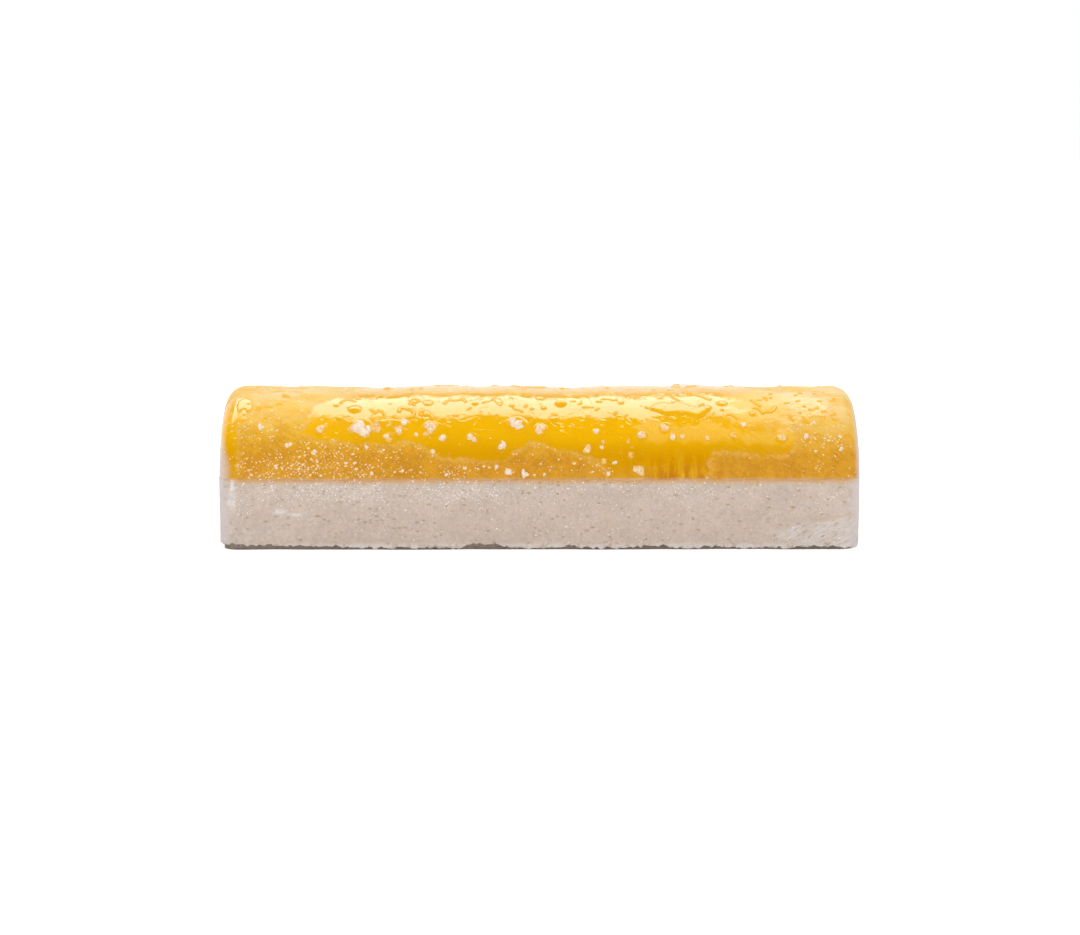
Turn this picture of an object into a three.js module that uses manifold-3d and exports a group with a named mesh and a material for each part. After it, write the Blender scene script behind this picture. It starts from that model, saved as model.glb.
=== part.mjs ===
// An ice cream log: a bar of cream ice with a domed layer of fruit ice on it, lying on its flat base.
// Grains of ice and drops of melt stand on the fruit layer. Lengths are millimetres and angles are radians.
// X runs along the log, Y from the front to the back and Z up from the base.
import * as THREE from "three";
import { mergeVertices } from "three/addons/utils/BufferGeometryUtils.js";
import Module from "manifold-3d";

const wasm = await Module();
wasm.setup();

// Driving dimensions of the log.
const LOG_LENGTH = 250;
const LOG_WIDTH = 74;
const LOG_HEIGHT = 59;
const LAYER_LEVEL = 27.7; // where the cream ends and the fruit layer starts
const LAYER_GAP = 0.3;
const END_ROUNDING = 7.5; // radius of every edge round the two ends
const FOOT_INSET = 1.6; // how far the base stands in under the rough lower edge
const FOOT_HEIGHT = 3.5;
const LOWER_EDGE = 0.9; // height of that edge where nothing is chipped off

const DOME_RADIUS = LOG_WIDTH / 2;
const WALL_HEIGHT = LOG_HEIGHT - DOME_RADIUS;

// How finely the two layers are faceted.
const STATION_STEP = 3.6;
const ROUNDING_STEPS = 4;
const ARCH_STEPS = 20;
const WALL_LEVELS = [22, 16, 10, 6, 3.2];

// The slow waves of a surface turned out of a mould: height, length along the log, turns round it, start.
const SURFACE_WAVES = [
  { height: 0.26, length: 83, turns: 2, start: 0.4 },
  { height: 0.17, length: 37, turns: -3, start: 1.9 },
  { height: 0.1, length: 19, turns: 5, start: 4.1 },
];
// The same for the line where the layers meet, and for the lower edge.
const LAYER_WAVES = [
  { height: 0.22, length: 58, turns: 1, start: 0.9 },
  { height: 0.14, length: 23, turns: 2, start: 2.7 },
];
const EDGE_WAVES = [
  { height: 0.16, length: 31, turns: 1, start: 0.2 },
  { height: 0.12, length: 13, turns: 3, start: 2.2 },
];
// Chips out of the lower edge: middle along the log, half width, height.
const FRONT_CHIPS = [
  { along: -121, reach: 50, height: 1.2 },
  { along: -20.5, reach: 9.5, height: 1.5 },
  { along: 12.5, reach: 2.6, height: 1.1 },
  { along: 18.8, reach: 2.2, height: 0.9 },
  { along: 46, reach: 9, height: 0.6 },
  { along: 110, reach: 7, height: 0.9 },
];
const BACK_CHIPS = [
  { along: -88, reach: 9, height: 1.4 },
  { along: 4, reach: 6, height: 1.0 },
  { along: 71, reach: 10, height: 1.6 },
];

// The grains of ice in front: place along the log, angle up the dome, size.
const FRONT_GRAINS = [
  [-108.1, 0.75, 3.3], [-105, 1.06, 1.4], [-97.4, 0.53, 2.9], [-87.5, 0.45, 2.4], [-85.1, 0.71, 3.7],
  [-74.9, 0.33, 1.6], [-69.5, 0.74, 7.4], [-67.3, 0.5, 2], [-64.8, 0.22, 1.8], [-59, 0.61, 3.7],
  [-54.6, 0.7, 3.7], [-52.8, 0.81, 3.3], [-53.3, 0.27, 2.5], [-47.9, 0.66, 1.8], [-42.7, 0.74, 5.3],
  [-41.4, 0.46, 2], [-37.6, 0.61, 2.8], [-36.1, 0.21, 1.6], [-29, 0.28, 1.6], [-26.2, 0.61, 3.9],
  [-16.9, 0.29, 2.2], [-14.7, 0.52, 3.5], [-11.9, 0.24, 4.1], [-8.7, 0.78, 6.5], [-5.3, 0.22, 3.9],
  [0.6, 0.71, 4.7], [0.6, 0.33, 1.5], [1.8, 0.21, 1.4], [13, 0.76, 1.5], [18.4, 0.48, 3.3],
  [21.9, 0.69, 2.4], [24, 0.5, 1.6], [24.6, 0.56, 1.6], [24.8, 0.35, 2.3], [26.7, 0.22, 1.9],
  [29, 0.33, 2], [34.4, 0.57, 1.8], [35.4, 0.42, 2.2], [38.4, 0.25, 4.1], [39.8, 0.64, 3.3],
  [49, 0.74, 3.9], [51.6, 0.62, 2.7], [51.7, 1.03, 1.8], [55.6, 1.01, 2.3], [55.5, 0.63, 2],
  [65, 0.61, 1.8], [75.4, 0.63, 2.2], [79.4, 0.76, 2.5], [94.1, 0.6, 3.5], [102, 0.95, 1.5],
  [103.6, 0.63, 2.8], [107.2, 0.46, 1.5], [107.4, 0.81, 1.8], [110.8, 0.59, 1.6], [117, 0.48, 2],
  [117, 0.62, 1.6],
];
// The drops of melt in front, in the same way.
const FRONT_DROPS = [
  [-79.9, 1.05, 2], [-78.1, 0.86, 3], [-72.5, 1, 5.5], [-56, 0.86, 1.9], [-49.1, 1.13, 2.4],
  [-44.1, 0.94, 3], [-43.9, 1.11, 4.1], [-25.3, 1.07, 2.4], [-10.9, 1.04, 1.8], [-4.1, 0.87, 1.7],
  [-3, 0.99, 1.6], [0.3, 1.2, 3.6], [1.6, 1.01, 2.2], [8.3, 1.08, 4.5], [32.1, 1.11, 2.4],
  [71.8, 1.08, 4.4], [83.3, 0.91, 2.4],
];
// The ones scattered over the top and the back.
const BACK_GRAINS = { count: 64, size: [1.3, 4.2], angle: [1.4, 2.94], seed: 11 };
const BACK_DROPS = { count: 30, size: [1.6, 3.8], angle: [1.35, 2.5], seed: 29 };
const GRAIN_SUNK = 0.2; // share of a grain's size that its middle lies under the surface
const DROP_HEIGHT = 0.42; // share of a drop's width
// The wide puddle of melt up on the front of the dome.
const PUDDLE = { along: 55.4, angle: 0.965, length: 25, width: 6, height: 0.7 };

// A repeatable stream of numbers from 0 to 1.
function stream(seed) {
  let state = seed >>> 0;
  return () => {
    state = (state + 0x6d2b79f5) >>> 0;
    let mixed = Math.imul(state ^ (state >>> 15), state | 1);
    mixed ^= mixed + Math.imul(mixed ^ (mixed >>> 7), mixed | 61);
    return ((mixed ^ (mixed >>> 14)) >>> 0) / 4294967296;
  };
}

const between = ([low, high], share) => low + (high - low) * share;

function waves(list, along, angle) {
  const one = (w) => w.height * Math.sin((2 * Math.PI * along) / w.length + w.turns * angle + w.start);
  return list.reduce((sum, w) => sum + one(w), 0);
}

// A point of the outer surface. The angle is 0 where the dome springs from the front wall and pi at the back;
// below and above those it goes on down the walls, with the dome's radius as its scale.
// The inset draws the whole section in, and the face is 1 on the sides and 0 on the flat ends.
function surfacePoint(along, angle, inset = 0, face = 1) {
  const reach = DOME_RADIUS - inset + face * waves(SURFACE_WAVES, along, angle);
  const onArch = THREE.MathUtils.clamp(angle, 0, Math.PI);
  const below = Math.abs(angle - onArch) * DOME_RADIUS;
  return new THREE.Vector3(along, -reach * Math.cos(onArch), WALL_HEIGHT + reach * Math.sin(onArch) - below);
}

// The angle at which the front of the section stands at a level.
function angleAtLevel(level, inset) {
  const above = level - WALL_HEIGHT;
  return above > 0 ? Math.asin(above / (DOME_RADIUS - inset)) : above / DOME_RADIUS;
}

function layerLevel(along, side) {
  return LAYER_LEVEL + waves(LAYER_WAVES, along, side);
}

// The height of the rough lower edge, in front (side 0) or at the back (side 1).
function lowerEdge(along, side) {
  const chips = side === 0 ? FRONT_CHIPS : BACK_CHIPS;
  const cut = (c) => c.height * Math.max(0, 1 - ((along - c.along) / c.reach) ** 2);
  return LOWER_EDGE + waves(EDGE_WAVES, along, side) + Math.max(...chips.map(cut));
}

// The stations along the log: even ones, with closer ones round the rounded ends.
function stations() {
  const straight = LOG_LENGTH / 2 - END_ROUNDING;
  const steps = Math.round((2 * straight) / STATION_STEP);
  const rounded = Array.from({ length: ROUNDING_STEPS }, (_, i) => {
    const turn = ((i + 1) / ROUNDING_STEPS) * (Math.PI / 2);
    return {
      along: straight + END_ROUNDING * Math.sin(turn),
      inset: END_ROUNDING * (1 - Math.cos(turn)),
      face: Math.cos(turn),
    };
  });
  const even = Array.from({ length: steps + 1 }, (_, i) => {
    return { along: -straight + (2 * straight * i) / steps, inset: 0, face: 1 };
  });
  const left = rounded.map((s) => ({ ...s, along: -s.along })).reverse();
  return [...left, ...even, ...rounded];
}

// A closed solid through rings of the same number of points, which run the same way round.
function loft(rings) {
  const count = rings[0].length;
  const positions = rings.flat().flatMap((p) => p.toArray());
  const faces = [];
  for (let i = 0; i < rings.length - 1; i++) {
    for (let j = 0; j < count; j++) {
      const next = (j + 1) % count;
      const [a, b] = [i * count + j, i * count + next];
      const [c, d] = [a + count, b + count];
      faces.push(a, b, c, b, d, c);
    }
  }
  const cap = (ring, first, outward) => {
    const outline = ring.map((p) => new THREE.Vector2(p.y, p.z));
    for (const [a, b, c] of THREE.ShapeUtils.triangulateShape(outline, [])) {
      faces.push(first + a, first + (outward ? b : c), first + (outward ? c : b));
    }
  };
  cap(rings[0], 0, false);
  cap(rings.at(-1), (rings.length - 1) * count, true);
  const geometry = new THREE.BufferGeometry();
  geometry.setAttribute("position", new THREE.Float32BufferAttribute(positions, 3));
  geometry.setIndex(faces);
  return geometry;
}

// A three.js geometry as a solid for joining, with its shared vertices merged.
function solidOf(geometry) {
  const bare = geometry.clone();
  bare.deleteAttribute("normal");
  bare.deleteAttribute("uv");
  const merged = mergeVertices(bare, 1e-4);
  return new wasm.Manifold(
    new wasm.Mesh({
      numProp: 3,
      vertProperties: new Float32Array(merged.attributes.position.array),
      triVerts: new Uint32Array(merged.index.array),
    }),
  );
}

function geometryOf(solid) {
  const mesh = solid.getMesh();
  const geometry = new THREE.BufferGeometry();
  geometry.setAttribute("position", new THREE.BufferAttribute(mesh.vertProperties, 3));
  geometry.setIndex(new THREE.BufferAttribute(mesh.triVerts, 1));
  geometry.computeVertexNormals();
  return geometry;
}

// The fruit layer without what lies on it: the dome down to where the layers meet.
function fruitBody() {
  const rings = stations().map(({ along, inset, face }) => {
    const front = angleAtLevel(layerLevel(along, 0) + LAYER_GAP / 2, inset);
    const back = Math.PI - angleAtLevel(layerLevel(along, 1) + LAYER_GAP / 2, inset);
    return Array.from({ length: ARCH_STEPS + 1 }, (_, i) =>
      surfacePoint(along, front + ((back - front) * i) / ARCH_STEPS, inset, face),
    );
  });
  return loft(rings.map((ring) => ring.reverse()));
}

// The cream above its rough lower edge.
function creamBody() {
  const rings = stations().map(({ along, inset, face }) => {
    const side = (which) => {
      const top = layerLevel(along, which) - LAYER_GAP / 2;
      const levels = [lowerEdge(along, which), ...WALL_LEVELS.toReversed(), top];
      const angles = levels.map((level) => angleAtLevel(level, inset));
      return angles.map((a) => surfacePoint(along, which === 0 ? a : Math.PI - a, inset, face));
    };
    return [...side(0), ...side(1).reverse()];
  });
  return loft(rings.map((ring) => ring.reverse()));
}

// The smooth base that stands in under the lower edge.
function foot() {
  const [halfLength, halfWidth] = [LOG_LENGTH / 2 - FOOT_INSET, LOG_WIDTH / 2 - FOOT_INSET];
  const corner = END_ROUNDING - FOOT_INSET / 2;
  const outline = new THREE.Shape();
  outline.absarc(halfLength - corner, halfWidth - corner, corner, 0, Math.PI / 2);
  outline.absarc(-halfLength + corner, halfWidth - corner, corner, Math.PI / 2, Math.PI);
  outline.absarc(-halfLength + corner, -halfWidth + corner, corner, Math.PI, Math.PI * 1.5);
  outline.absarc(halfLength - corner, -halfWidth + corner, corner, Math.PI * 1.5, Math.PI * 2);
  return new THREE.ExtrudeGeometry(outline, { depth: FOOT_HEIGHT, bevelEnabled: false, curveSegments: 5 });
}

// Turns a shape made round the origin, with Z out of the surface and X along the log, onto the surface.
function onSurface(geometry, along, angle, lift) {
  const upright = new THREE.Vector3(0, -Math.cos(angle), Math.sin(angle));
  const lengthwise = new THREE.Vector3(1, 0, 0);
  const across = new THREE.Vector3().crossVectors(upright, lengthwise);
  const place = surfacePoint(along, angle).addScaledVector(upright, lift);
  return geometry.applyMatrix4(new THREE.Matrix4().makeBasis(lengthwise, across, upright).setPosition(place));
}

// A blunt, uneven grain of ice.
function grain({ along, angle, size }, draw) {
  const geometry = mergeVertices(barePositions(new THREE.IcosahedronGeometry(size / 2, 0)));
  const place = geometry.attributes.position;
  for (let i = 0; i < place.count; i++) {
    const swell = between([0.78, 1.12], draw());
    place.setXYZ(i, place.getX(i) * swell * 1.12, place.getY(i) * swell, place.getZ(i) * swell * 0.82);
  }
  geometry.rotateZ(draw() * Math.PI * 2);
  return solidOf(onSurface(geometry, along, angle, -GRAIN_SUNK * size));
}

// A low round drop, or a long puddle where its length and width differ.
function drop({ along, angle, length, width, height }, segments) {
  const geometry = barePositions(new THREE.SphereGeometry(1, segments, 6));
  geometry.rotateX(Math.PI / 2).scale(length / 2, width / 2, height * 1.25);
  return solidOf(onSurface(mergeVertices(geometry), along, angle, -height * 0.25));
}

function barePositions(geometry) {
  geometry.deleteAttribute("normal");
  geometry.deleteAttribute("uv");
  return geometry;
}

// Places for scattered things: even steps along the log, each with a drawn place, angle and size.
function scatter({ count, size, angle, seed }) {
  const draw = stream(seed);
  const span = LOG_LENGTH - 3 * END_ROUNDING;
  return Array.from({ length: count }, (_, i) => ({
    along: -span / 2 + (span * (i + draw())) / count,
    angle: between(angle, draw()),
    size: between(size, draw() ** 2),
  }));
}

function apart(one, other) {
  const arc = (one.angle - other.angle) * DOME_RADIUS;
  return Math.hypot(one.along - other.along, arc) > (one.size + other.size) / 2 + 0.6;
}

// Everything fused on the fruit layer. The scattered ones keep clear of each other and of those in front.
function toppings() {
  const draw = stream(BACK_GRAINS.seed + 1);
  const listed = (list) => list.map(([along, angle, size]) => ({ along, angle, size }));
  const grains = listed(FRONT_GRAINS);
  const drops = listed(FRONT_DROPS);
  const clear = (one) => [...grains, ...drops].every((other) => apart(one, other));
  for (const one of scatter(BACK_GRAINS)) if (clear(one)) grains.push(one);
  for (const one of scatter(BACK_DROPS)) if (clear(one)) drops.push(one);
  return [
    ...grains.map((g) => grain(g, draw)),
    ...drops.map((d) => drop({ ...d, length: d.size, width: d.size, height: d.size * DROP_HEIGHT }, 8)),
    drop(PUDDLE, 16),
  ];
}

function named(name, solid, color, roughness) {
  const mesh = new THREE.Mesh(geometryOf(solid), new THREE.MeshStandardMaterial({ color, roughness, metalness: 0 }));
  mesh.name = name;
  return mesh;
}

const creamLayer = solidOf(creamBody()).add(solidOf(foot()));
const fruitLayer = wasm.Manifold.union([solidOf(fruitBody()), ...toppings()]);

const log = new THREE.Group();
log.add(named("cream_layer", creamLayer, 0xe9dccb, 0.6));
log.add(named("fruit_layer", fruitLayer, 0xf5b50c, 0.15));
export default log;
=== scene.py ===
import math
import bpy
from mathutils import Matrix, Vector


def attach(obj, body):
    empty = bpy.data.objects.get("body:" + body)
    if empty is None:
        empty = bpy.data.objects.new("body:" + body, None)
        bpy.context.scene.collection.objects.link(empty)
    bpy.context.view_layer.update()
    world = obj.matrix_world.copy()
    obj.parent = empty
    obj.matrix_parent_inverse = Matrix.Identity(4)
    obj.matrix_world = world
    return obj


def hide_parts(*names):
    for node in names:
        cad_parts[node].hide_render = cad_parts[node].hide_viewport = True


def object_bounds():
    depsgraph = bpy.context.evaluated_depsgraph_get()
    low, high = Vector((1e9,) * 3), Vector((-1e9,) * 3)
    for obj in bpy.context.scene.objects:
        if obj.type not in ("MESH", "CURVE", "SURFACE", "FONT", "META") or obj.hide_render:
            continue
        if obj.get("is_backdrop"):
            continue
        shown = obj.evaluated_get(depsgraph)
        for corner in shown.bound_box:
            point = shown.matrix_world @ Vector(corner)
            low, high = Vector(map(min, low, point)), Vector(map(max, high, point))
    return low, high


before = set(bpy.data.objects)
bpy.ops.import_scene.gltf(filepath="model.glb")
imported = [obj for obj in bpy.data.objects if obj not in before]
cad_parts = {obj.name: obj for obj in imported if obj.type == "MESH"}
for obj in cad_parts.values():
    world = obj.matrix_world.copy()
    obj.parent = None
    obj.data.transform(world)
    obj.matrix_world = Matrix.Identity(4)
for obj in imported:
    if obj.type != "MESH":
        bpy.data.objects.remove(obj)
CAD_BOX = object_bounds()

# An ice cream log: cream ice below and a domed layer of golden fruit ice on it, wet in places and frosted in
# others, with grains of ice and drops of melt. X runs along the log, Y from the front to the back and Z up from
# the base. The tables and the shape maths are in millimetres and radians; meshes and the panel's sizes are in
# metres.
from types import SimpleNamespace

import bmesh
import bpy
import numpy as np
from bpy.props import FloatProperty, FloatVectorProperty, IntProperty, PointerProperty
from mathutils import Matrix, Vector

bl_info = {
    "name": "Ice cream log",
    "version": (1, 0, 0),
    "blender": (4, 5, 0),
    "location": "3D View > Sidebar > Ice Cream Log",
    "description": "Builds a domed ice cream log with a wet and frosted fruit layer",
    "category": "Add Mesh",
}

MM = 0.001
SPAN = [CAD_BOX[1][i] - CAD_BOX[0][i] for i in range(3)]

# The slow waves of a surface turned out of a mould: height, length along the log, turns round it, start.
SURFACE_WAVES = [(0.26, 83, 2, 0.4), (0.17, 37, -3, 1.9), (0.1, 19, 5, 4.1)]
LAYER_WAVES = [(0.22, 58, 1, 0.9), (0.14, 23, 2, 2.7)]
EDGE_WAVES = [(0.16, 31, 1, 0.2), (0.12, 13, 3, 2.2)]
# Chips out of the lower edge, in front and at the back: middle along the log, half width, height.
FRONT_CHIPS = [
    (-121, 50, 1.2), (-20.5, 9.5, 1.5), (12.5, 2.6, 1.1), (18.8, 2.2, 0.9), (46, 9, 0.6), (110, 7, 0.9),
]
BACK_CHIPS = [(-88, 9, 1.4), (4, 6, 1.0), (71, 10, 1.6)]

# The grains of ice in front: place along the log, angle up the dome, size.
FRONT_GRAINS = [
    (-108.1, 0.75, 3.3), (-105, 1.06, 1.4), (-97.4, 0.53, 2.9), (-87.5, 0.45, 2.4), (-85.1, 0.71, 3.7),
    (-74.9, 0.33, 1.6), (-69.5, 0.74, 7.4), (-67.3, 0.5, 2), (-64.8, 0.22, 1.8), (-59, 0.61, 3.7),
    (-54.6, 0.7, 3.7), (-52.8, 0.81, 3.3), (-53.3, 0.27, 2.5), (-47.9, 0.66, 1.8), (-42.7, 0.74, 5.3),
    (-41.4, 0.46, 2), (-37.6, 0.61, 2.8), (-36.1, 0.21, 1.6), (-29, 0.28, 1.6), (-26.2, 0.61, 3.9),
    (-16.9, 0.29, 2.2), (-14.7, 0.52, 3.5), (-11.9, 0.24, 4.1), (-8.7, 0.78, 6.5), (-5.3, 0.22, 3.9),
    (0.6, 0.71, 4.7), (0.6, 0.33, 1.5), (1.8, 0.21, 1.4), (13, 0.76, 1.5), (18.4, 0.48, 3.3),
    (21.9, 0.69, 2.4), (24, 0.5, 1.6), (24.6, 0.56, 1.6), (24.8, 0.35, 2.3), (26.7, 0.22, 1.9),
    (29, 0.33, 2), (34.4, 0.57, 1.8), (35.4, 0.42, 2.2), (38.4, 0.25, 4.1), (39.8, 0.64, 3.3),
    (49, 0.74, 3.9), (51.6, 0.62, 2.7), (51.7, 1.03, 1.8), (55.6, 1.01, 2.3), (55.5, 0.63, 2),
    (65, 0.61, 1.8), (75.4, 0.63, 2.2), (79.4, 0.76, 2.5), (94.1, 0.6, 3.5), (102, 0.95, 1.5),
    (103.6, 0.63, 2.8), (107.2, 0.46, 1.5), (107.4, 0.81, 1.8), (110.8, 0.59, 1.6), (117, 0.48, 2),
    (117, 0.62, 1.6),
]
# Clearer lumps beside the largest clump, half melted away.
CLEAR_GRAINS = [
    (-63.8, 0.75, 6.6), (-58.6, 0.79, 4.2), (-73.2, 0.69, 4.4), (-55.8, 0.75, 3.4), (-67.5, 0.64, 4),
    (-44.2, 0.68, 4.2),
]
# The drops of melt in front: place along the log, angle, size, height.
FRONT_DROPS = [
    (-79.9, 1.05, 2, 0.35), (-78.1, 0.86, 3, 0.4), (-72.5, 1, 5.5, 0.85), (-56, 0.86, 1.9, 0.3),
    (-49.1, 1.13, 2.4, 0.3), (-44.1, 0.94, 3, 0.35), (-43.9, 1.11, 4.1, 0.4), (-25.3, 1.07, 2.4, 0.55),
    (-10.9, 1.04, 1.8, 0.45), (-4.1, 0.87, 1.7, 0.3), (-3, 0.99, 1.6, 0.3), (0.3, 1.2, 3.6, 0.5),
    (1.6, 1.01, 2.2, 0.55), (8.3, 1.08, 4.5, 1.3), (32.1, 1.11, 2.4, 0.4), (71.8, 1.08, 4.4, 0.5),
    (83.3, 0.91, 2.4, 0.4),
]
# Low pools of melt: height, width of the rounded edge, outline. The first is the long puddle.
MELT_POOLS = [
    (0.62, 1.5, [
        (42.7, 1.01), (45.8, 1.09), (49.2, 1.11), (52, 1.06), (53.7, 1.13), (56.1, 1.09), (58.7, 1.05),
        (62, 1.01), (65.1, 1.06), (68.1, 1.02), (66.2, 0.94), (64.2, 0.89), (62.4, 0.85), (59.3, 0.87),
        (57.1, 0.9), (52.6, 0.9), (49, 0.89), (46.4, 0.94), (43.4, 0.98)]),
    (0.2, 0.8, [(-19.3, 1.15), (-18, 1.18), (-16.6, 1.19), (-15.3, 1.16), (-14.3, 1.11), (-14.6, 1.05),
                (-15.7, 1.03), (-16.6, 1.06), (-17.3, 1.1), (-18.2, 1.13)]),
    (0.45, 1.2, [(3.2, 0.85), (4.5, 0.89), (7.8, 0.88), (8, 0.84), (6, 0.8), (4.2, 0.81)]),
    (0.3, 1.0, [(-64, 0.83), (-58, 0.86), (-52, 0.84), (-51, 0.76), (-56, 0.72), (-61, 0.75)]),
    (0.25, 1.0, [(-117, 1.2), (-113.5, 1.18), (-112.4, 1.02), (-114, 0.93), (-115.6, 1.02), (-118, 0.92),
                 (-119, 1.1)]),
    (0.3, 1.2, [(-13, 1.6), (-6, 1.72), (2, 1.7), (4, 1.6), (-2, 1.54), (-9, 1.56)]),
    (0.3, 1.2, [(-46, 1.85), (-38, 1.95), (-32, 1.88), (-31, 1.74), (-37, 1.7), (-43, 1.75)]),
    (0.35, 1.2, [(24, 1.95), (33, 2.02), (41, 1.9), (37, 1.8), (28, 1.84)]),
    (0.3, 1.2, [(52, 1.6), (58, 1.68), (64, 1.62), (62, 1.5), (55, 1.48)]),
]
# Threads of melt: height, width, path.
MELT_THREADS = [
    (0.1, 0.9, [(-78.1, 1.09), (-77.7, 1.14), (-76.2, 1.17), (-74.4, 1.17), (-72.7, 1.14)]),
    (0.12, 0.9, [(-66.1, 0.99), (-65.2, 0.96)]),
    (0.12, 0.9, [(-64.5, 0.93), (-63.6, 0.96), (-62.1, 0.96), (-61.1, 0.93), (-60.7, 0.9)]),
    (0.2, 1.3, [(-55, 0.96), (-54.9, 1), (-54.1, 1.02), (-52.3, 1.01), (-50, 0.98), (-49.1, 0.95),
                (-49.2, 0.91), (-50.3, 0.88), (-51.7, 0.87)]),
    (0.18, 1.2, [(-56.6, 0.89), (-56, 0.85), (-54.9, 0.83), (-53.7, 0.84)]),
    (0.12, 1.0, [(-51, 1.09), (-50.2, 1.15), (-49.6, 1.18), (-48.5, 1.18), (-47.2, 1.14)]),
    (0.15, 1.0, [(-46.3, 0.91), (-46.9, 0.94), (-46.6, 0.97), (-44.4, 0.97)]),
    (0.3, 1.6, [(-44.8, 0.92), (-43.2, 0.92), (-42.3, 0.9), (-42, 0.86)]),
    (0.13, 1.1, [(-37.4, 1.1), (-36.7, 1.15), (-35.1, 1.16), (-33.1, 1.15), (-31.5, 1.16), (-30.4, 1.18),
                 (-29.1, 1.12)]),
    (0.12, 0.8, [(-5.7, 1.02), (-5.1, 1.05)]), (0.12, 0.8, [(15.6, 1.07), (16.3, 1.09)]),
    (0.1, 0.8, [(22.6, 1.13), (24.2, 1.13)]), (0.1, 0.8, [(24.7, 1.18), (26, 1.18)]),
    (0.14, 0.9, [(17.3, 1.01), (18, 1.03)]), (0.12, 0.8, [(29.6, 0.93), (30.1, 0.95)]),
    (0.1, 0.8, [(-22, 1.09), (-20.2, 1.11)]),
    (0.1, 0.9, [(49.2, 1.23), (51, 1.24), (53.3, 1.16), (54.8, 1.13)]),
    (0.16, 1.3, [(57.9, 1.29), (60.6, 1.27), (63.2, 1.23), (65.4, 1.19), (67.1, 1.15)]),
    (0.2, 1.0, [(83.5, 1.14), (84.7, 1.09), (85.6, 1.06), (86.6, 1.03)]),
    (0.2, 1.0, [(84.3, 1), (85.8, 0.99), (87.4, 0.92)]),
    (0.2, 1.2, [(87.7, 0.93), (89, 0.94), (90.6, 0.94), (91.8, 0.97), (92.5, 1.02)]),
    (0.15, 1.0, [(73.7, 0.9), (75, 0.9), (76.3, 0.87), (77.3, 0.84)]),
]
THREAD_SWELL = 1.5  # the threads are laid this many times as high as their table says
THREAD_SPREAD = 1.1  # and this many times as wide
# Flecks, short threads at random where the melt is half frozen: ends along the log, ends of the angle, how many.
FLECKS = [
    ((84, 118), (0.74, 1.32), 24), ((-116, -98), (0.8, 1.25), 8), ((-86, 80), (0.84, 1.25), 26),
    ((-60, 60), (1.6, 2.2), 20),
]
FLECK_HEIGHT = 0.16
FLECK_WIDTH = 0.85
# The grains and drops over the top and the back, scattered at random.
BACK_GRAINS = {"count": 64, "size": (1.3, 4.2), "angle": (1.4, 2.94), "seed": 11}
BACK_DROPS = {"count": 30, "size": (1.6, 3.8), "angle": (1.35, 2.5), "seed": 29}
CLEARANCE = 0.6  # between two of them
CLUMP_SIZE = 4.5  # a grain larger than this is a clump of several
LARGEST_CLUMP = 7
RINGED_SIZE = 2  # a grain larger than this has a ring of melt round it, where it is wet
GRAIN_SUNK = 0.15  # share of a grain's size that its middle lies under the surface
DROP_RISE = 0.13  # share of a scattered drop's size
SKIRT = 0.3  # how far the thin border of melt reaches out round a drop
SKIRT_HEIGHT = 0.03
MELT_SUNK = 0.6  # how deep the underside of melt lies in the ice
SHORE_WIDTH = 0.5  # over which the dark border of melt fades
RING_SHORE = 0.35  # how much of that border the melt round a grain has
FULL_TURN = 6.28

# Where melt has wetted the fruit layer: outlines of (along, angle). The first is the wide sheet over the dome.
WET_OUTLINES = [
    [
        (-93.3, 0.67), (-86.9, 0.6), (-79.5, 0.56), (-72.9, 0.55), (-65, 0.57), (-57.4, 0.55), (-49.6, 0.58),
        (-44.9, 0.55), (-41.8, 0.43), (-34.8, 0.39), (-23, 0.36), (-15.4, 0.37), (-12.3, 0.41), (-9.2, 0.47),
        (-4.1, 0.56), (2, 0.55), (6.3, 0.49), (12.2, 0.48), (16.8, 0.41), (22.2, 0.36), (26, 0.27),
        (28, 0.13), (39, 0.08), (62, 0.08), (65.2, 0.23), (66.5, 0.45), (74, 0.445), (85.5, 0.42),
        (95.2, 0.42),
        (98.4, 0.48), (99.3, 0.56), (98, 0.74), (104, 0.86), (112, 0.9), (114, 1.1), (106, 1.3), (84, 1.42),
        (74, 1.7), (61, 2.05), (38, 2.25), (22, 2.6), (6, 2.5), (-12, 2.15), (-34, 2.3), (-52, 2.05),
        (-66, 1.75), (-73, 1.5), (-76.9, 1.22), (-83.4, 1.15), (-87.9, 1.07), (-88.8, 0.96), (-90, 0.8),
    ],
    [(-128, 0.1), (-117.7, 0.12), (-117.9, 0.56), (-118, 0.74), (-115.4, 0.81), (-115.4, 1.15), (-118, 1.3),
     (-124, 1.2), (-128, 0.9)],
]
# Patches of frost specks on the fruit layer and on the cream: along, angle, their two half widths, density.
FRUIT_FROST = [
    (-94, 0.27, 27, 0.13, 1.0), (-76, 0.38, 24, 0.16, 0.55), (-108, 0.72, 10, 0.2, 0.4),
    (-98, 1.0, 16, 0.2, 0.06), (-33, 0.24, 12, 0.07, 0.5), (27, 0.26, 8, 0.07, 0.5), (109, 0.68, 11, 0.2, 0.45),
    (111, 0.31, 8, 0.14, 0.25), (101, 0.93, 9, 0.1, 0.35), (-4, 0.4, 12, 0.12, 0.14), (-62, 2.8, 30, 0.15, 0.8),
    (36, 2.72, 24, 0.2, 0.7), (96, 2.4, 14, 0.3, 0.5), (-104, 2.2, 16, 0.3, 0.4), (-100, 1.6, 14, 0.3, 0.15),
    (104, 1.6, 14, 0.3, 0.15),
]
CREAM_FROST = [
    (-84, 0.03, 30, 0.12, 0.9), (-28, 0.02, 26, 0.12, 0.8), (30, 0.06, 18, 0.08, 0.45),
    (58, 0.04, 16, 0.1, 0.4), (112, -0.02, 10, 0.1, 0.35), (-60, 3.12, 40, 0.14, 0.8), (50, 3.1, 34, 0.12, 0.6),
    (-113, -0.1, 6, 0.2, 0.3),
]
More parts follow.
